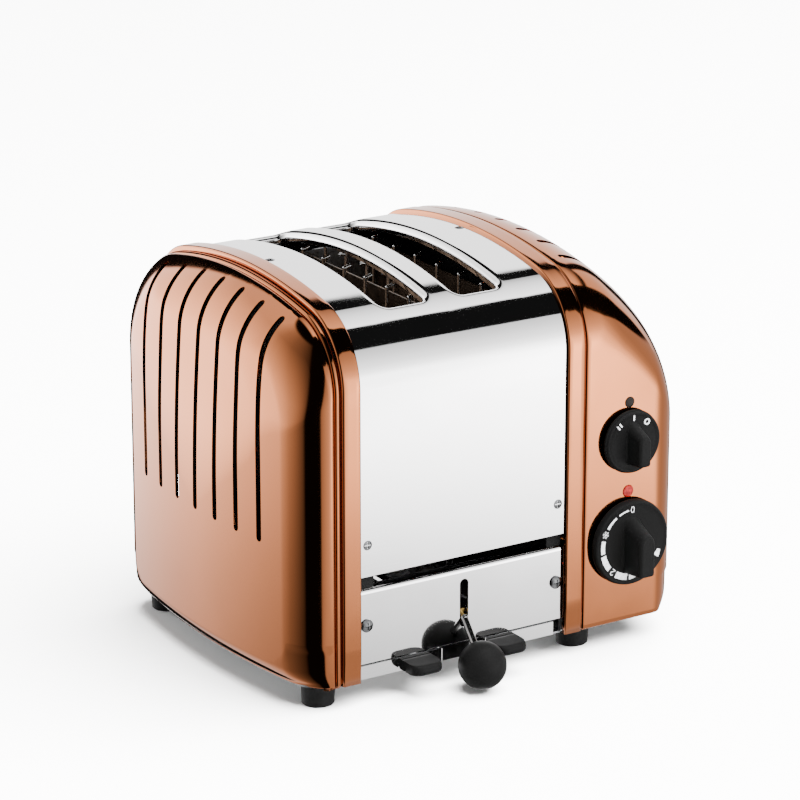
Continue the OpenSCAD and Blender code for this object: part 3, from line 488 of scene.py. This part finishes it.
def loaf_corner(half, apex, crown, corner):
    """Centre (u, h) of the corner arc of a loaf outline and the height of its crown's
    centre: the corner arc touches both the crown arc and the upright side."""
    base = apex - crown
    corner_u = half - corner
    return corner_u, base + np.sqrt((crown - corner) ** 2 - corner_u**2), base


def loaf(u, half, apex, crown, corner):
    """Height of a loaf outline at u from its middle: base + sqrt(crown2 - u2) on the
    crown arc, and the like round the corner's centre beyond it."""
    corner_u, corner_h, base = loaf_corner(half, apex, crown, corner)
    u = np.minimum(np.abs(u), half)
    top = base + np.sqrt(np.maximum(crown**2 - u**2, 0))
    side = corner_h + np.sqrt(np.maximum(corner**2 - (u - corner_u) ** 2, 0))
    return np.where(u * (crown - corner) < corner_u * crown, top, side)


def loaf_half(height, half, apex, crown, corner):
    """Half-width of the same outline at a height, the inverse of loaf."""
    corner_u, corner_h, base = loaf_corner(half, apex, crown, corner)
    join = corner_h + corner * (corner_h - base) / (crown - corner)
    top = np.sqrt(np.maximum(crown**2 - (height - base) ** 2, 0))
    side = corner_u + np.sqrt(np.maximum(corner**2 - np.maximum(height - corner_h, 0) ** 2, 0))
    return np.where(height > join, top, side)


class CapShape:
    """An end cap with the seam at +x. Its plan, its front view and every section across
    it are loaf outlines; the sections shrink as they near the end."""

    def __init__(self, seam, joint, corner, bulge, roll, dome, depth):
        self.seam, self.joint, self.depth = seam, np.array(joint).T * MM, depth
        self.plan = (CAP_HALF, CAP_END, bulge, corner)
        self.front = (depth, CAP_END, dome, roll)
        self.edge_x = float(self.end(MIDDLE_EDGE))
        self.corner_x = float(loaf_corner(*self.plan)[1])

    def end(self, y):
        """x of the end face at y."""
        return loaf(y, *self.plan)

    def section(self, x):
        """Loaf numbers of the section at x, moved in by the grooves next to the seam."""
        half = loaf_half(x, *self.plan)
        top = CAP_TOP - self.depth + loaf_half(x, *self.front)
        shoulder = np.minimum(SHOULDER + CAP_OUT + 0.03 * (CAP_TOP - top), 0.8 * half)
        inset = np.interp(x - self.seam, *self.joint)
        return half - inset, top - inset, CAP_CROWN - inset, shoulder - inset

    def heel(self, points):
        """Moves the end face back near the table: a soft crease, then a round, and a
        rounded turn of the crease below the corners."""
        x, y, z = np.moveaxis(points, -1, 0)
        down = np.clip(HEEL_TOP - z, 0, 0.99 * HEEL_ROUND)
        back = 0.14 * down + 0.85 * (HEEL_ROUND - np.sqrt(HEEL_ROUND**2 - down**2))
        corner = np.hypot(np.maximum(np.abs(y) - CREASE_SIDE, 0), np.maximum(CREASE_TOP - z, 0))
        back = back + 0.13 * np.maximum(corner - CREASE_ROUND, 0) * (z < CREASE_TOP)
        return np.stack([x - back * ease(x, self.corner_x, self.edge_x), y, z], -1)


def vent_columns():
    """The y of every grid column over the middle of the cap, and each column's distance
    from the nearest vent's centre line."""
    centres = (np.arange(VENT_COUNT) - VENT_COUNT // 2) * VENT_PITCH
    inside = np.array([-1, -0.87, -0.5, 0, 0.5, 0.87, 1]) * VENT / 2
    gap = np.linspace(0, 1, 6)[1:-1] * (VENT_PITCH - VENT) + VENT / 2
    columns = (centres[:, None] + np.concatenate([inside, gap])).ravel()
    columns = columns[columns < centres[-1] + VENT / 2 + 1e-9]
    edge = np.linspace(columns[-1], MIDDLE_EDGE, 4)[1:]
    columns = np.concatenate([-edge[::-1], columns, edge])
    away = np.abs(columns[:, None] - centres).min(1)
    return columns, away


def punch(points, kept, hole_x, hole_z, radius, core=0.0, flip=False):
    """Takes a window out of the kept quads of a grid. The ring patch returned joins its
    border to a round hole, or to an upright slot whose straight run is twice the core."""
    reach = radius * 1.3 + 1.2 * MM
    r0, r1 = (int(np.abs(points[:, -1, 0] - hole_x - s * reach).argmin()) for s in (-1, 1))
    across = points[(r0 + r1) // 2, :, 2] - hole_z
    c0, c1 = (int(np.abs(across - s * (reach + core)).argmin()) for s in (1, -1))
    border = np.concatenate([points[r0, c0:c1], points[r0:r1, c1],
                             points[r1, c1:c0:-1], points[r1:r0:-1, c0]])
    kept[r0:r1, c0:c1] = False
    level = np.clip(border[:, 2] - hole_z, -core, core)
    centre = np.stack([hole_x + 0 * level, hole_z + level], 1)
    way = border[:, [0, 2]] - centre
    way /= np.linalg.norm(way, axis=1)[:, None]
    rim = border.copy()
    rim[:, [0, 2]] = centre + radius * way
    share = np.array([0, 0.45, 0.8, 1])[:, None, None]
    return grid(border + (rim - border) * share, flip=flip, closed=True)


def cap_patches(shape, vent_inset, front_holes, rear_holes):
    """All patches of one cap with the seam at +x; the left one is mirrored later."""
    columns, away = vent_columns()
    in_vent = np.maximum(away[:-1], away[1:]) <= VENT / 2 + 1e-9
    reach = np.sqrt(np.maximum((VENT / 2) ** 2 - away**2, 0))
    vent_x = shape.seam + vent_inset + VENT / 2 - reach
    # Middle: every column is a curve at its own y, split where the vents start. It has far
    # rows beyond the split, and the end face has down rows beside the vents.
    at_joint, far, down = shape.joint[0], 64, 26
    near = len(at_joint) + 3
    dense = np.sin(np.linspace(0, np.pi / 2, 900))[:, None]
    x = shape.seam + (shape.end(columns) - shape.seam) * dense
    z = loaf(columns, *shape.section(x))
    steps = np.hypot(np.diff(x, axis=0), np.diff(z, axis=0))
    length = np.concatenate([0 * x[:1], np.cumsum(steps, 0)])
    split = np.array([np.interp(v, *line) for v, *line in zip(vent_x, x.T, length.T)])
    joint_x = shape.seam + at_joint
    groove = np.stack([np.interp(joint_x, *line) for line in zip(x.T, length.T)], 1)
    wanted = np.concatenate([groove[:-1], np.linspace(groove[-1], split, 5),
                             np.linspace(split, length[-1], far + 1)[1:]])
    x, z = (np.stack([np.interp(*line) for line in zip(wanted.T, length.T, values.T)], 1)
            for values in (x, z))
    middle = np.stack(np.broadcast_arrays(x, columns, z), 2)
    kept = np.ones((near + far, len(columns) - 1), bool)
    kept[near:, in_vent] = False
    # End face: rows down to the foot of the vents, then to the flange.
    levels = np.concatenate([np.linspace(88, 26, 32), np.arange(24, 15, -1), [14.5]]) * MM
    foot = VENT_FOOT - np.where(away < VENT / 2, reach, 0)
    height = np.concatenate([np.linspace(z[-1], foot, down + 1),
                             np.repeat(levels[:, None], len(columns), 1)])
    face = np.stack(np.broadcast_arrays(shape.end(columns), columns, height), 2)
    face_kept = np.ones((len(height) - 1, len(columns) - 1), bool)
    face_kept[:down, in_vent] = False
    # Sides: every row is a section, round the shoulder and down to the flange.
    row_x = x[:, :1]
    half, top, crown, corner = shape.section(row_x)
    corner_u, corner_h, _ = loaf_corner(half, top, crown, corner)
    tilt = np.arcsin(np.clip((MIDDLE_EDGE - corner_u) / corner, -1, 1))
    tilt = tilt + (np.pi / 2 - tilt) * np.linspace(0, 1, 23)
    drop = np.linspace(corner_h[:, 0], VENT_FOOT, down + 1)[1:].T
    low = np.repeat(levels[None], len(row_x), 0)
    side_y = np.concatenate([corner_u + corner * np.sin(tilt), half + 0 * drop, half + 0 * low], 1)
    side_z = np.concatenate([corner_h + corner * np.cos(tilt), drop, low], 1)
    side = np.stack([row_x + 0 * side_y, -side_y, side_z], 2)
    side[:, 0] = middle[:, 0]
    side, face = shape.heel(side), shape.heel(face)
    patches = []
    for holes, sign in ((front_holes, 1), (rear_holes, -1)):
        wall = side * [1, sign, 1]
        wall_kept = np.ones((side.shape[0] - 1, side.shape[1] - 1), bool)
        patches += [punch(wall, wall_kept, *hole, flip=sign > 0) for hole in holes]
        patches.append(grid(wall, wall_kept, sign > 0))
    patches += [grid(middle, kept), grid(face, face_kept)]
    # Flange: the lower border of the whole cap, bent in round a small radius.
    border = np.concatenate([side[:, -1], face[-1, 1:], (side[:, -1] * [1, -1, 1])[-2::-1]])
    along = np.gradient(border[:, :2], axis=0)
    along /= np.linalg.norm(along, axis=1)[:, None]
    inward = np.stack([-along[:, 1], along[:, 0]], 1)
    turn = np.linspace(0, np.pi / 2, 6)[:, None]
    way = np.concatenate([BEND * (1 - np.cos(turn)), [[FLANGE / 2], [FLANGE]]])
    fall = np.concatenate([BEND * np.sin(turn), [[BEND], [BEND]]])
    strip = np.concatenate([border[:, :2] + way[:, :, None] * inward,
                            (border[:, 2] - fall)[..., None]], 2)
    return patches + [grid(strip)]


def placed(patches, signs):
    """Patches mirrored by the signs and moved to the body's middle; quads of a mirrored
    patch turn round."""
    order = int(np.prod(signs))
    return [(points * signs + [0, mid_y, 0], quads[:, ::order]) for points, quads in patches]


LENS_Z, PLUG_Z, SELECTOR_Z, TIMER_Z = 88 * MM, 138.5 * MM, 117 * MM, 59.6 * MM
knob_x = CAP_END - 48 * MM
front_holes = [(knob_x, TIMER_Z, 5.1 * MM), (knob_x, SELECTOR_Z, 5.1 * MM),
               (knob_x, LENS_Z, 3.55 * MM), (knob_x, PLUG_Z, 3.15 * MM)]
rear_holes = [(CAP_END - 40 * MM, 36 * MM, 7.15 * MM)]
# Steps beside the seams as (distance, depth) in mm: a bead between two grooves on the
# left, one narrow groove on the right.
bead = [(0, 2.4), (0.5, 2.4), (0.7, 1.6), (1, 1.1), (1.6, 0.78), (2.3, 0.7), (3, 0.78),
        (3.6, 1.1), (3.9, 1.6), (4.1, 2.4), (4.7, 2.4), (5, 1.2), (5.4, 0.3), (6, 0)]
groove = [(0, 1.0), (0.3, 1.0), (0.8, 0.35), (1.4, 0.08), (2.0, 0)]
left_shape = CapShape(seam=98 * MM, joint=bead, corner=24 * MM, bulge=500 * MM,
                      roll=38 * MM, dome=1200 * MM, depth=130.3 * MM)
right_shape = CapShape(seam=53 * MM, joint=groove, corner=18 * MM, bulge=300 * MM,
                       roll=34 * MM, dome=134 * MM, depth=113.3 * MM)
for side, sign, patches in (
        ("left", -1, cap_patches(left_shape, 11.5 * MM, [], [])),
        ("right", 1, cap_patches(right_shape, 7.5 * MM, front_holes, rear_holes))):
    cap = make_piece(side + "_cap_shell", placed(patches, [sign, 1, 1]), "body", copper,
                     [side + "_end_cap"], weld=0.000004)
    thicken(cap, SHEET, even=False)


# ---- Lower panels -------------------------------------------------------------------
# Two strips of the same polished sheet under the cover, their top edges folded inward.
# The front one has a round-ended slot for the lever, and pan head screws hold both.
PANEL_TOP, PANEL_BEND, PANEL_FLANGE = 64 * MM, 2.2 * MM, 7 * MM
PANEL_GAP, FLANGE_GAP = 3.3 * MM, 9 * MM
lever_x = cover_middle + 1 * MM


def panel_patches(slotted):
    """Front of a panel as (x, z) grid, then its top edge: a quarter circle inward and a
    short flange. The slot's window is punched out of the front."""
    columns = np.linspace(body_low.x + PANEL_GAP, body_high.x - PANEL_GAP, 60)
    columns = np.unique(np.concatenate([columns, lever_x + np.linspace(-8, 8, 17) * MM]))
    levels = np.linspace(62, 22, 41) * MM
    x, z = np.meshgrid(columns, levels, indexing="ij")
    front = np.stack([x, 0 * x - HALF_DEPTH, z], 2)
    kept = np.ones((len(columns) - 1, len(levels) - 1), bool)
    patches = []
    if slotted:
        patches.append(punch(front, kept, lever_x, 43.8 * MM, 2.6 * MM, 10.9 * MM, flip=True))
    patches.append(grid(front, kept, flip=True))
    turn = np.linspace(0, np.pi / 2, 8)
    bend_y = np.append(PANEL_BEND * (1 - np.cos(turn)), PANEL_FLANGE) - HALF_DEPTH
    bend_z = np.append(PANEL_TOP - PANEL_BEND + PANEL_BEND * np.sin(turn), PANEL_TOP)
    bend_z[0] = levels[0]
    inset = np.append(0 * turn, FLANGE_GAP)
    middle_x = columns.mean()
    bent_x = middle_x + (columns[:, None] - middle_x) * (1 - inset / (columns[-1] - middle_x))
    return patches + [grid(np.stack(np.broadcast_arrays(bent_x, bend_y, bend_z), 2))]


for side, sign in (("front", 1), ("rear", -1)):
    panel = make_piece(side + "_panel_sheet", placed(panel_patches(sign > 0), [1, sign, 1]),
                       "body", steel, ["lower_" + side + "_panel"])
    thicken(panel, SHEET, even=False)


# ---- Lever --------------------------------------------------------------------------
# A bent bright rod comes through the slot and carries a moulded ball, screwed on at a
# short neck. The brass collar behind the slot keeps the rod from scraping the panel.

# Moulded black plastic, whose fine grain breaks the shine into a soft sheen.
black, tree, skin, place = finish_material("moulded_black_plastic", specular=0.05)
skin["Base Color"].default_value = linear("#070707")
grit = add_node(tree, "TexNoise", {"Vector": place, "Scale": 2600.0, "Detail": 2.0})
emboss(tree, skin, grit.outputs["Fac"], 0.12, 0.0001)
waver(tree, skin, place, 60.0, 2.0, 0.4, 0.5)


def revolve(profile, around):
    """Points of a (radius, height) profile turned about +Z, rows along the profile."""
    angle = np.arange(around) * 2 * np.pi / around
    radius, height = np.asarray(profile, float).T
    return np.stack([np.outer(radius, np.cos(angle)), np.outer(radius, np.sin(angle)),
                     np.repeat(height[:, None], around, 1)], 2)


def aim_z(points, way, at):
    """Turns points so that +Z points along way, and moves them to a place."""
    turn = np.array(Vector(way).to_track_quat("Z", "Y").to_matrix())
    return np.asarray(points) @ turn.T + np.asarray(at)


ball_low, ball_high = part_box("lever_ball")
ball_radius = (ball_high.x - ball_low.x) / 2
ball_middle = np.array([lever_x, ball_low.y + ball_radius, ball_high.z - ball_radius])
rod_way = np.array([0, 18, 21.1]) / np.hypot(18, 21.1)
# From the far pole to a small flat with a rounded edge where the rod goes in.
polar = np.linspace(0, np.pi - 0.2, 60)
profile = np.stack([ball_radius * np.sin(polar), -ball_radius * np.cos(polar)], 1)
neck = [[2.3 * MM, ball_radius * 0.985], [2.05 * MM, ball_radius * 0.975]]
ball = aim_z(revolve(np.concatenate([profile, neck]), 96), rod_way, ball_middle)
make_piece("lever_ball_knob", [grid(ball, flip=True, closed=True)], "lever", black,
           ["lever_ball"])


# ---- Crumb tray grips ---------------------------------------------------------------
# Two moulded finger grips on the tray's front lip: a tongue with a rounded nose, round
# corners in plan and a groove underneath behind the lip.
GRIP_CORNER = 5.5 * MM


def grip_patch(low, high):
    """A closed outline in (y, z) carried across the grip; its reach shrinks toward both
    sides on a circle, and both sides are closed by the outline drawn in to a point."""
    half, reach = (high.x - low.x) / 2, high.y - low.y
    height = (high.z - low.z) / 2
    turn = np.linspace(-np.pi / 2, np.pi / 2, 17)
    nose = np.stack([1 - height / reach * (1 - np.cos(turn)), np.sin(turn)], 1)
    top = np.stack([np.linspace(nose[-1, 0], 0, 10)[1:], np.ones(9)], 1)
    back = np.stack([np.zeros(5), np.linspace(1, -1, 6)[1:]], 1)
    groove = np.array([[0.16, -1], [0.2, -1], [0.22, -0.5], [0.36, -0.5], [0.4, -1],
                       [0.5, -1], [0.6, -1]])
    loop = np.concatenate([nose, top, back, groove])
    edge = GRIP_CORNER * (1 - np.sin(np.linspace(0, np.pi / 2, 10)))
    across = np.concatenate([edge[::-1] - half, half - edge])
    slip = np.clip((np.abs(across) - half + GRIP_CORNER) / GRIP_CORNER, 0, 1)
    forward = reach - GRIP_CORNER * (1 - np.sqrt(1 - slip**2))
    y = -forward[:, None] * loop[:, 0]
    body = np.stack(np.broadcast_arrays(across[:, None], y, loop[:, 1] * height), 2)
    centre = np.array([0, -(reach - GRIP_CORNER) / 2, 0])
    shut = np.array([0.97, 0.9, 0.5, 0])[:, None, None]
    ends = [centre + (row - centre) * [0, 1, 1] * shut + [row[0, 0], 0, 0]
            for row in (body[0], body[-1])]
    body = np.concatenate([ends[0][::-1], body, ends[1]])
    return grid(body + [(low.x + high.x) / 2, high.y, (low.z + high.z) / 2], closed=True)


for side in ("left", "right"):
    name = "tray_grip_" + side
    low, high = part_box(name)
    # The pad's top is a little under the solid's, so the panel's edge shows above it.
    high.z -= 1.8 * MM
    make_piece(name + "_moulding", [grip_patch(low, high)], "tray", black, [name])


# ---- Knobs --------------------------------------------------------------------------
# Moulded black knobs: a skirt with a deep rim and a shallow dished dial, and an upright
# bar grip whose upper end slopes forward. The dials carry printed white marks.
KNOB_RIM = 1.2 * MM
TIMER_DIAL = 19.2 * MM


def dial_height(radius, knob):
    """Height of the dial over the knob's back: a crisp rim, then a shallow dish."""
    size, skirt = knob
    return skirt - 0.3 * MM - 0.5 * MM * (1 - (radius / size) ** 2)


def skirt_profile(knob):
    """Profile from the back edge up the side wall, over the rim and in over the dial."""
    size, skirt = knob
    turn = np.linspace(0, np.pi / 2, 7)
    foot = [[size - 3 * MM, 0.2 * MM], [size - 0.5 * MM, 0.2 * MM],
            [size - 0.1 * MM, 0.5 * MM], [size, 1 * MM]]
    wall = [[size, skirt * 0.4], [size - 0.4 * MM, skirt * 0.72]]
    rim = np.stack([size - 1.6 * MM + KNOB_RIM * np.cos(turn),
                    skirt - KNOB_RIM + KNOB_RIM * np.sin(turn)], 1)
    dial = np.linspace(size - 2.5 * MM, 0, 12)
    return np.concatenate([foot, wall, rim, np.stack([dial, dial_height(dial, knob)], 1)])


def grip_rows(knob, height, half_width, top, foot):
    """Closed outlines of a bar grip at rising heights over the dial. Each is a bar with a
    round upper end and small lower corners; it narrows forward and its upper end falls
    back. A fillet grows it at the dial and a quarter circle closes it at the front."""
    base = dial_height(0.3 * knob[0], knob) - 0.4 * MM
    soft = 1.6 * MM
    fillet = np.linspace(0, np.pi / 2, 6)[:-1]
    rise = np.linspace(0, 1, 9)
    round_off = np.linspace(0, np.pi / 2, 8)[1:]
    level = np.concatenate([base + soft * (1 - np.cos(fillet)),
                            base + soft + (height - 2 * soft - base) * rise,
                            height - soft + soft * np.sin(round_off)])
    grow = np.concatenate([soft * (1 - np.sin(fillet)), 0 * rise, -soft * (1 - np.cos(round_off))])
    share = np.clip((level - base) / (height - base), 0, 1)[:, None]
    wide = half_width * (1 - 0.16 * share) + grow[:, None]
    upper = top[0] + (top[1] - top[0]) * share**0.8 + grow[:, None]
    lower = foot[0] + (foot[1] - foot[0]) * share - grow[:, None]
    angle = np.linspace(0, np.pi, 19)
    reach = np.minimum(wide * 1.25, (upper - lower) * 0.6)
    x = wide * np.cos(angle)
    z = upper - reach + reach * np.sin(angle)
    corner = np.minimum(1.4 * MM, wide * 0.6)
    turn = np.linspace(0, np.pi / 2, 6)
    left = np.stack([-wide + corner * (1 - np.cos(turn)), lower + corner * (1 - np.sin(turn))], 2)
    right = np.stack([wide - corner * (1 - np.sin(turn)), lower + corner * (1 - np.cos(turn))], 2)
    x = np.concatenate([x, left[..., 0], right[..., 0]], 1)
    z = np.concatenate([z, left[..., 1], right[..., 1]], 1)
    rows = np.stack([x, z, np.repeat(level[:, None], x.shape[1], 1)], 2)
    centre = rows[-1].mean(0)
    lid = centre + (rows[-1] - centre) * np.array([0.8, 0.4, 0])[:, None, None]
    return np.concatenate([rows, lid])


def on_front(points, z):
    """Knob coordinates (right, up, out of the dial) to the shared frame."""
    points = np.asarray(points)
    back = mid_y - CAP_HALF - 1 * MM
    return np.stack([knob_x + points[..., 0], back - points[..., 2], z + points[..., 1]], -1)


# Each knob's height over the table, (radius, thickness) of its skirt, and its bar grip,
# whose top and foot are given at the dial and at the front.
knobs = {
    "selector": dict(z=SELECTOR_Z, knob=(17.7 * MM, 3.9 * MM),
                     grip=dict(height=15 * MM, half_width=4.3 * MM, top=(12 * MM, 6 * MM),
                               foot=(-12 * MM, -11.2 * MM))),
    "timer": dict(z=TIMER_Z, knob=(24.2 * MM, 4.3 * MM),
                  grip=dict(height=19 * MM, half_width=5.6 * MM, top=(16 * MM, 8 * MM),
                            foot=(-16.5 * MM, -15.5 * MM))),
}
for name, sizes in knobs.items():
    skirt = revolve(skirt_profile(sizes["knob"]), 128)
    rows = grip_rows(sizes["knob"], **sizes["grip"])
    patches = [grid(on_front(part, sizes["z"]), closed=True) for part in (skirt, rows)]
    make_piece(name + "_knob_moulding", patches, name, black, [name + "_knob"])


def mottled(name, dark, light, scale, roughness, metallic=0.0, specular=0.15, detail=4.0,
            span=(0.35, 0.65), relief=0.05):
    """Finish whose colour wanders between two shades, with a matching fine relief."""
    finish, tree, skin, place = finish_material(name, metallic, 0.5 if metallic else specular)
    noise = add_node(tree, "TexNoise", {"Vector": place, "Scale": scale, "Detail": detail})
    shade = add_node(tree, "ValToRGB", {"Fac": noise.outputs["Fac"]})
    for stop, position, colour in zip(shade.color_ramp.elements, span, (dark, light)):
        stop.position, stop.color = position, linear(colour)
    tree.links.new(shade.outputs[0], skin["Base Color"])
    skin["Roughness"].default_value = roughness
    if relief:
        emboss(tree, skin, noise.outputs["Fac"], relief, 0.0002)
    return finish


# White ink, a little worn in places.
ink = mottled("white_dial_ink", "#77787a", "#959698", 900.0, 0.55, specular=0.5, detail=2.0,
              span=(0.3, 0.5), relief=0)


def on_dial(angle, radius):
    """Place on a dial: the angle runs counter-clockwise from the top, in degrees."""
    angle = np.radians(np.asarray(angle, float))
    return np.stack([-radius * np.sin(angle), radius * np.cos(angle)], -1)


def stroke(line, width, closed=False):
    """Pen stroke along a line: each point moves half the width to either side."""
    line = np.asarray(line, float)
    along = np.gradient(line, axis=0)
    if closed:
        along = np.roll(line, -1, 0) - np.roll(line, 1, 0)
    along /= np.linalg.norm(along, axis=1)[:, None]
    away = np.stack([-along[:, 1], along[:, 0]], 1)
    away = away * np.broadcast_to(width, len(line))[:, None] / 2
    return np.stack([line + away, line - away], 1), closed


def wedge(start, end, first, last, drift=0.0):
    """Stroke along the timer's dial between two angles, from the first width to the last
    in mm. It drifts inward on the way."""
    line = on_dial(np.linspace(start, end, 24), TIMER_DIAL - np.linspace(0, drift, 24) * MM)
    return stroke(line, np.linspace(first, last, 24) * MM)


def turned(strokes, angle, radius):
    """Figures drawn upright at the origin, turned and moved to a place on the dial."""
    turn = np.radians(angle)
    spin = np.array([[np.cos(turn), np.sin(turn)], [-np.sin(turn), np.cos(turn)]])
    return [(points @ spin + on_dial(angle, radius), closed) for points, closed in strokes]


def print_marks(name, strokes):
    """Lays strokes on a knob's dial as a skin of ink."""
    z, knob = knobs[name]["z"], knobs[name]["knob"]
    patches = []
    for points, closed in strokes:
        lift = dial_height(np.linalg.norm(points, axis=2), knob) + 0.03 * MM
        flat = np.concatenate([points, lift[..., None]], 2)
        patches.append((on_front(flat, z), grid_faces(len(points), 2, close_rows=closed)))
    piece = make_piece(name + "_dial_marks", patches, name, ink,
                       weld=0, smooth=False)
    thicken(piece, 0.04 * MM, inward=False)


around = np.linspace(0, 2 * np.pi, 25)[:-1]
circle = np.stack([np.cos(around), np.sin(around)], 1) * MM
figure_0 = [stroke(circle * [1, 1.7], 0.36 * MM, True)]
bow = np.linspace(np.pi * 0.9, -0.25 * np.pi, 14)
bow = np.stack([np.cos(bow), 0.75 + 0.95 * np.sin(bow)], 1)
figure_2 = [stroke(np.concatenate([bow, [[-0.3, -0.75], [-1, -1.6]]]) * MM, 0.4 * MM),
            stroke(np.array([[-1.2, -1.6], [1.15, -1.6]]) * MM, 0.4 * MM)]
figure_snow = []
for spoke in np.arange(6) * np.pi / 3:
    out = np.array([np.sin(spoke), np.cos(spoke)])
    barb = 0.6 * np.array([out[1], -out[0]])
    tip = np.array([out * 1.7 + barb, out * 1.2, out * 1.7 - barb])
    figure_snow += [stroke(np.outer([0, 2.2], out) * MM, 0.22 * MM), stroke(tip * MM, 0.2 * MM)]
bar_1 = [stroke(np.array([[0, -1.7], [0, 1.7]]) * MM, 0.9 * MM)]
bar_2 = [stroke(np.array([[s, -1.6], [s, 1.6]]) * MM, 0.8 * MM) for s in (-0.95, 0.95)]
ring_mark = [stroke(circle * 1.45, 0.9 * MM, True)]
print_marks("selector", turned(bar_1, 0, 13.9 * MM) + turned(bar_2, 42, 14.0 * MM)
            + turned(ring_mark, -40, 13.4 * MM))
wedges = [wedge(8, 27, 0.9, 0.9), wedge(33, 56, 1.1, 1.7), wedge(77, 99, 2.5, 2.5),
          wedge(103, 130, 3.2, 3.2), wedge(147, 171, 3.6, 3.6),
          wedge(175, 196, 3.6, 2.4, drift=0.6), wedge(237, 249, 3.6, 2.0)]
print_marks("timer", turned(figure_0, 0, TIMER_DIAL) + turned(figure_snow, 66, TIMER_DIAL)
            + turned(figure_2, 139, TIMER_DIAL) + wedges)


# ---- Lamp lens and index plug -------------------------------------------------------
# A clear red lens and a small dark plug, each pressed into the right cap's front. Both
# have a straight side, a rounded edge and a slightly domed face.

# Deep red lens plastic, a little cloudy inside.
red = mottled("red_lamp_lens", "#4a0402", "#6b0906", 500.0, 0.3, detail=1.0, relief=0)
# Brown-black plastic with a little dust.
brown = mottled("dark_index_plug", "#0b0908", "#120f0d", 300.0, 0.5, specular=0.1, detail=2.0,
                span=(0.3, 0.7), relief=0)
for name, node, z, radius, finish, slot in (
        ("lens_button", "indicator_lens", LENS_Z, 3.35, red, "red_lens"),
        ("plug_button", "index_plug", PLUG_Z, 2.95, brown, "black_plastic")):
    turn = np.linspace(0, np.pi / 2, 6)
    edge = np.stack([radius - 0.4 + 0.4 * np.cos(turn), 0.1 + 0.4 * np.sin(turn)], 1)
    face = np.linspace(radius - 0.5, 0, 6)
    face = np.stack([face, 0.5 + 0.12 * (1 - (face / radius) ** 2)], 1)
    button = revolve(np.concatenate([[[radius, -3.0]], edge, face]) * MM, 48) + [0, 0, -1 * MM]
    make_piece(name, [grid(on_front(button, z), closed=True)], "body", finish, [node])


# ---- Inner chamber ------------------------------------------------------------------
# Mica sheets wound with ribbon, plated guard wires, plain zinc-coated sheet and the
# brass, rubber and moulded parts behind them keep their built shape.
def dress(finish, *nodes):
    """Gives carried-over pieces their finish."""
    for node in nodes:
        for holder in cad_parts[node].material_slots:
            holder.material = finish


# Zinc gives plain sheet a cloudy grey.
dress(mottled("zinc_coated_sheet", "#8f9192", "#a9abac", 45.0, 0.38, 1.0),
      "base_plate", "front_baffle", "rear_baffle", "pivot_bracket", "lever_arm",
      "carriage_bar", "control_bracket")
# The chassis plates are painted near-black as painted shade in the gaps, so no bright edge shows
# there.
dress(mottled("painted_shade_chassis_sheet", "#060606", "#0a0a0a", 60.0, 0.7),
      "left_chassis_plate", "right_chassis_plate")
# Mica is dark brown with faint flakes.
dress(mottled("dark_mica_sheet", "#2b211a", "#463a30", 120.0, 0.45),
      "element_left", "element_centre", "element_right")
# Drawn wire and turned pins are bright.
dress(mottled("bright_plated_wire", "#c9c9c8", "#e2e2e1", 300.0, 0.16, 1.0),
      "guard_wires_1", "guard_wires_2", "guard_wires_3", "guard_wires_4", "guide_rods",
      "bread_carrier_left", "bread_carrier_right", "lever_pivot_pin", "lever_rod",
      "selector_shaft", "timer_shaft", "foot_screws")
# Screws are plated a darker grey.
dress(mottled("plated_screw_steel", "#646567", "#8b8c8d", 260.0, 0.22, 1.0),
      "top_screws", "cover_screws", "panel_screws")
dress(steel, "crumb_tray", "tray_centre_strip")
# Brass, a little dulled.
dress(mottled("plain_brass", "#a98a4a", "#c3a565", 200.0, 0.3, 1.0), "lever_collar")
dress(black, "cord_gland")
# Moulded parts of the wiring are off-white.
dress(mottled("moulded_white_plastic", "#d8d6ce", "#e4e2db", 400.0, 0.5),
      "lamp_holder", "selector_switch", "terminal_block")
# The timer's case is pressed aluminium, cloudy from handling.
dress(mottled("pressed_aluminium_case", "#a9aaab", "#bcbdbe", 90.0, 0.35, 1.0), "timer_body")
# The leads wear a woven red sleeve with a coarse relief.
dress(mottled("woven_lead_sleeve", "#6d1f1a", "#8a2f27", 900.0, 0.8, relief=0.4),
      "internal_leads")
# Rubber feet are matt black with a little dust on the grain.
dress(mottled("black_rubber", "#070707", "#0b0b0b", 700.0, 0.7, relief=0.2),
      "foot_front_left", "foot_front_right", "foot_rear_left", "foot_rear_right")
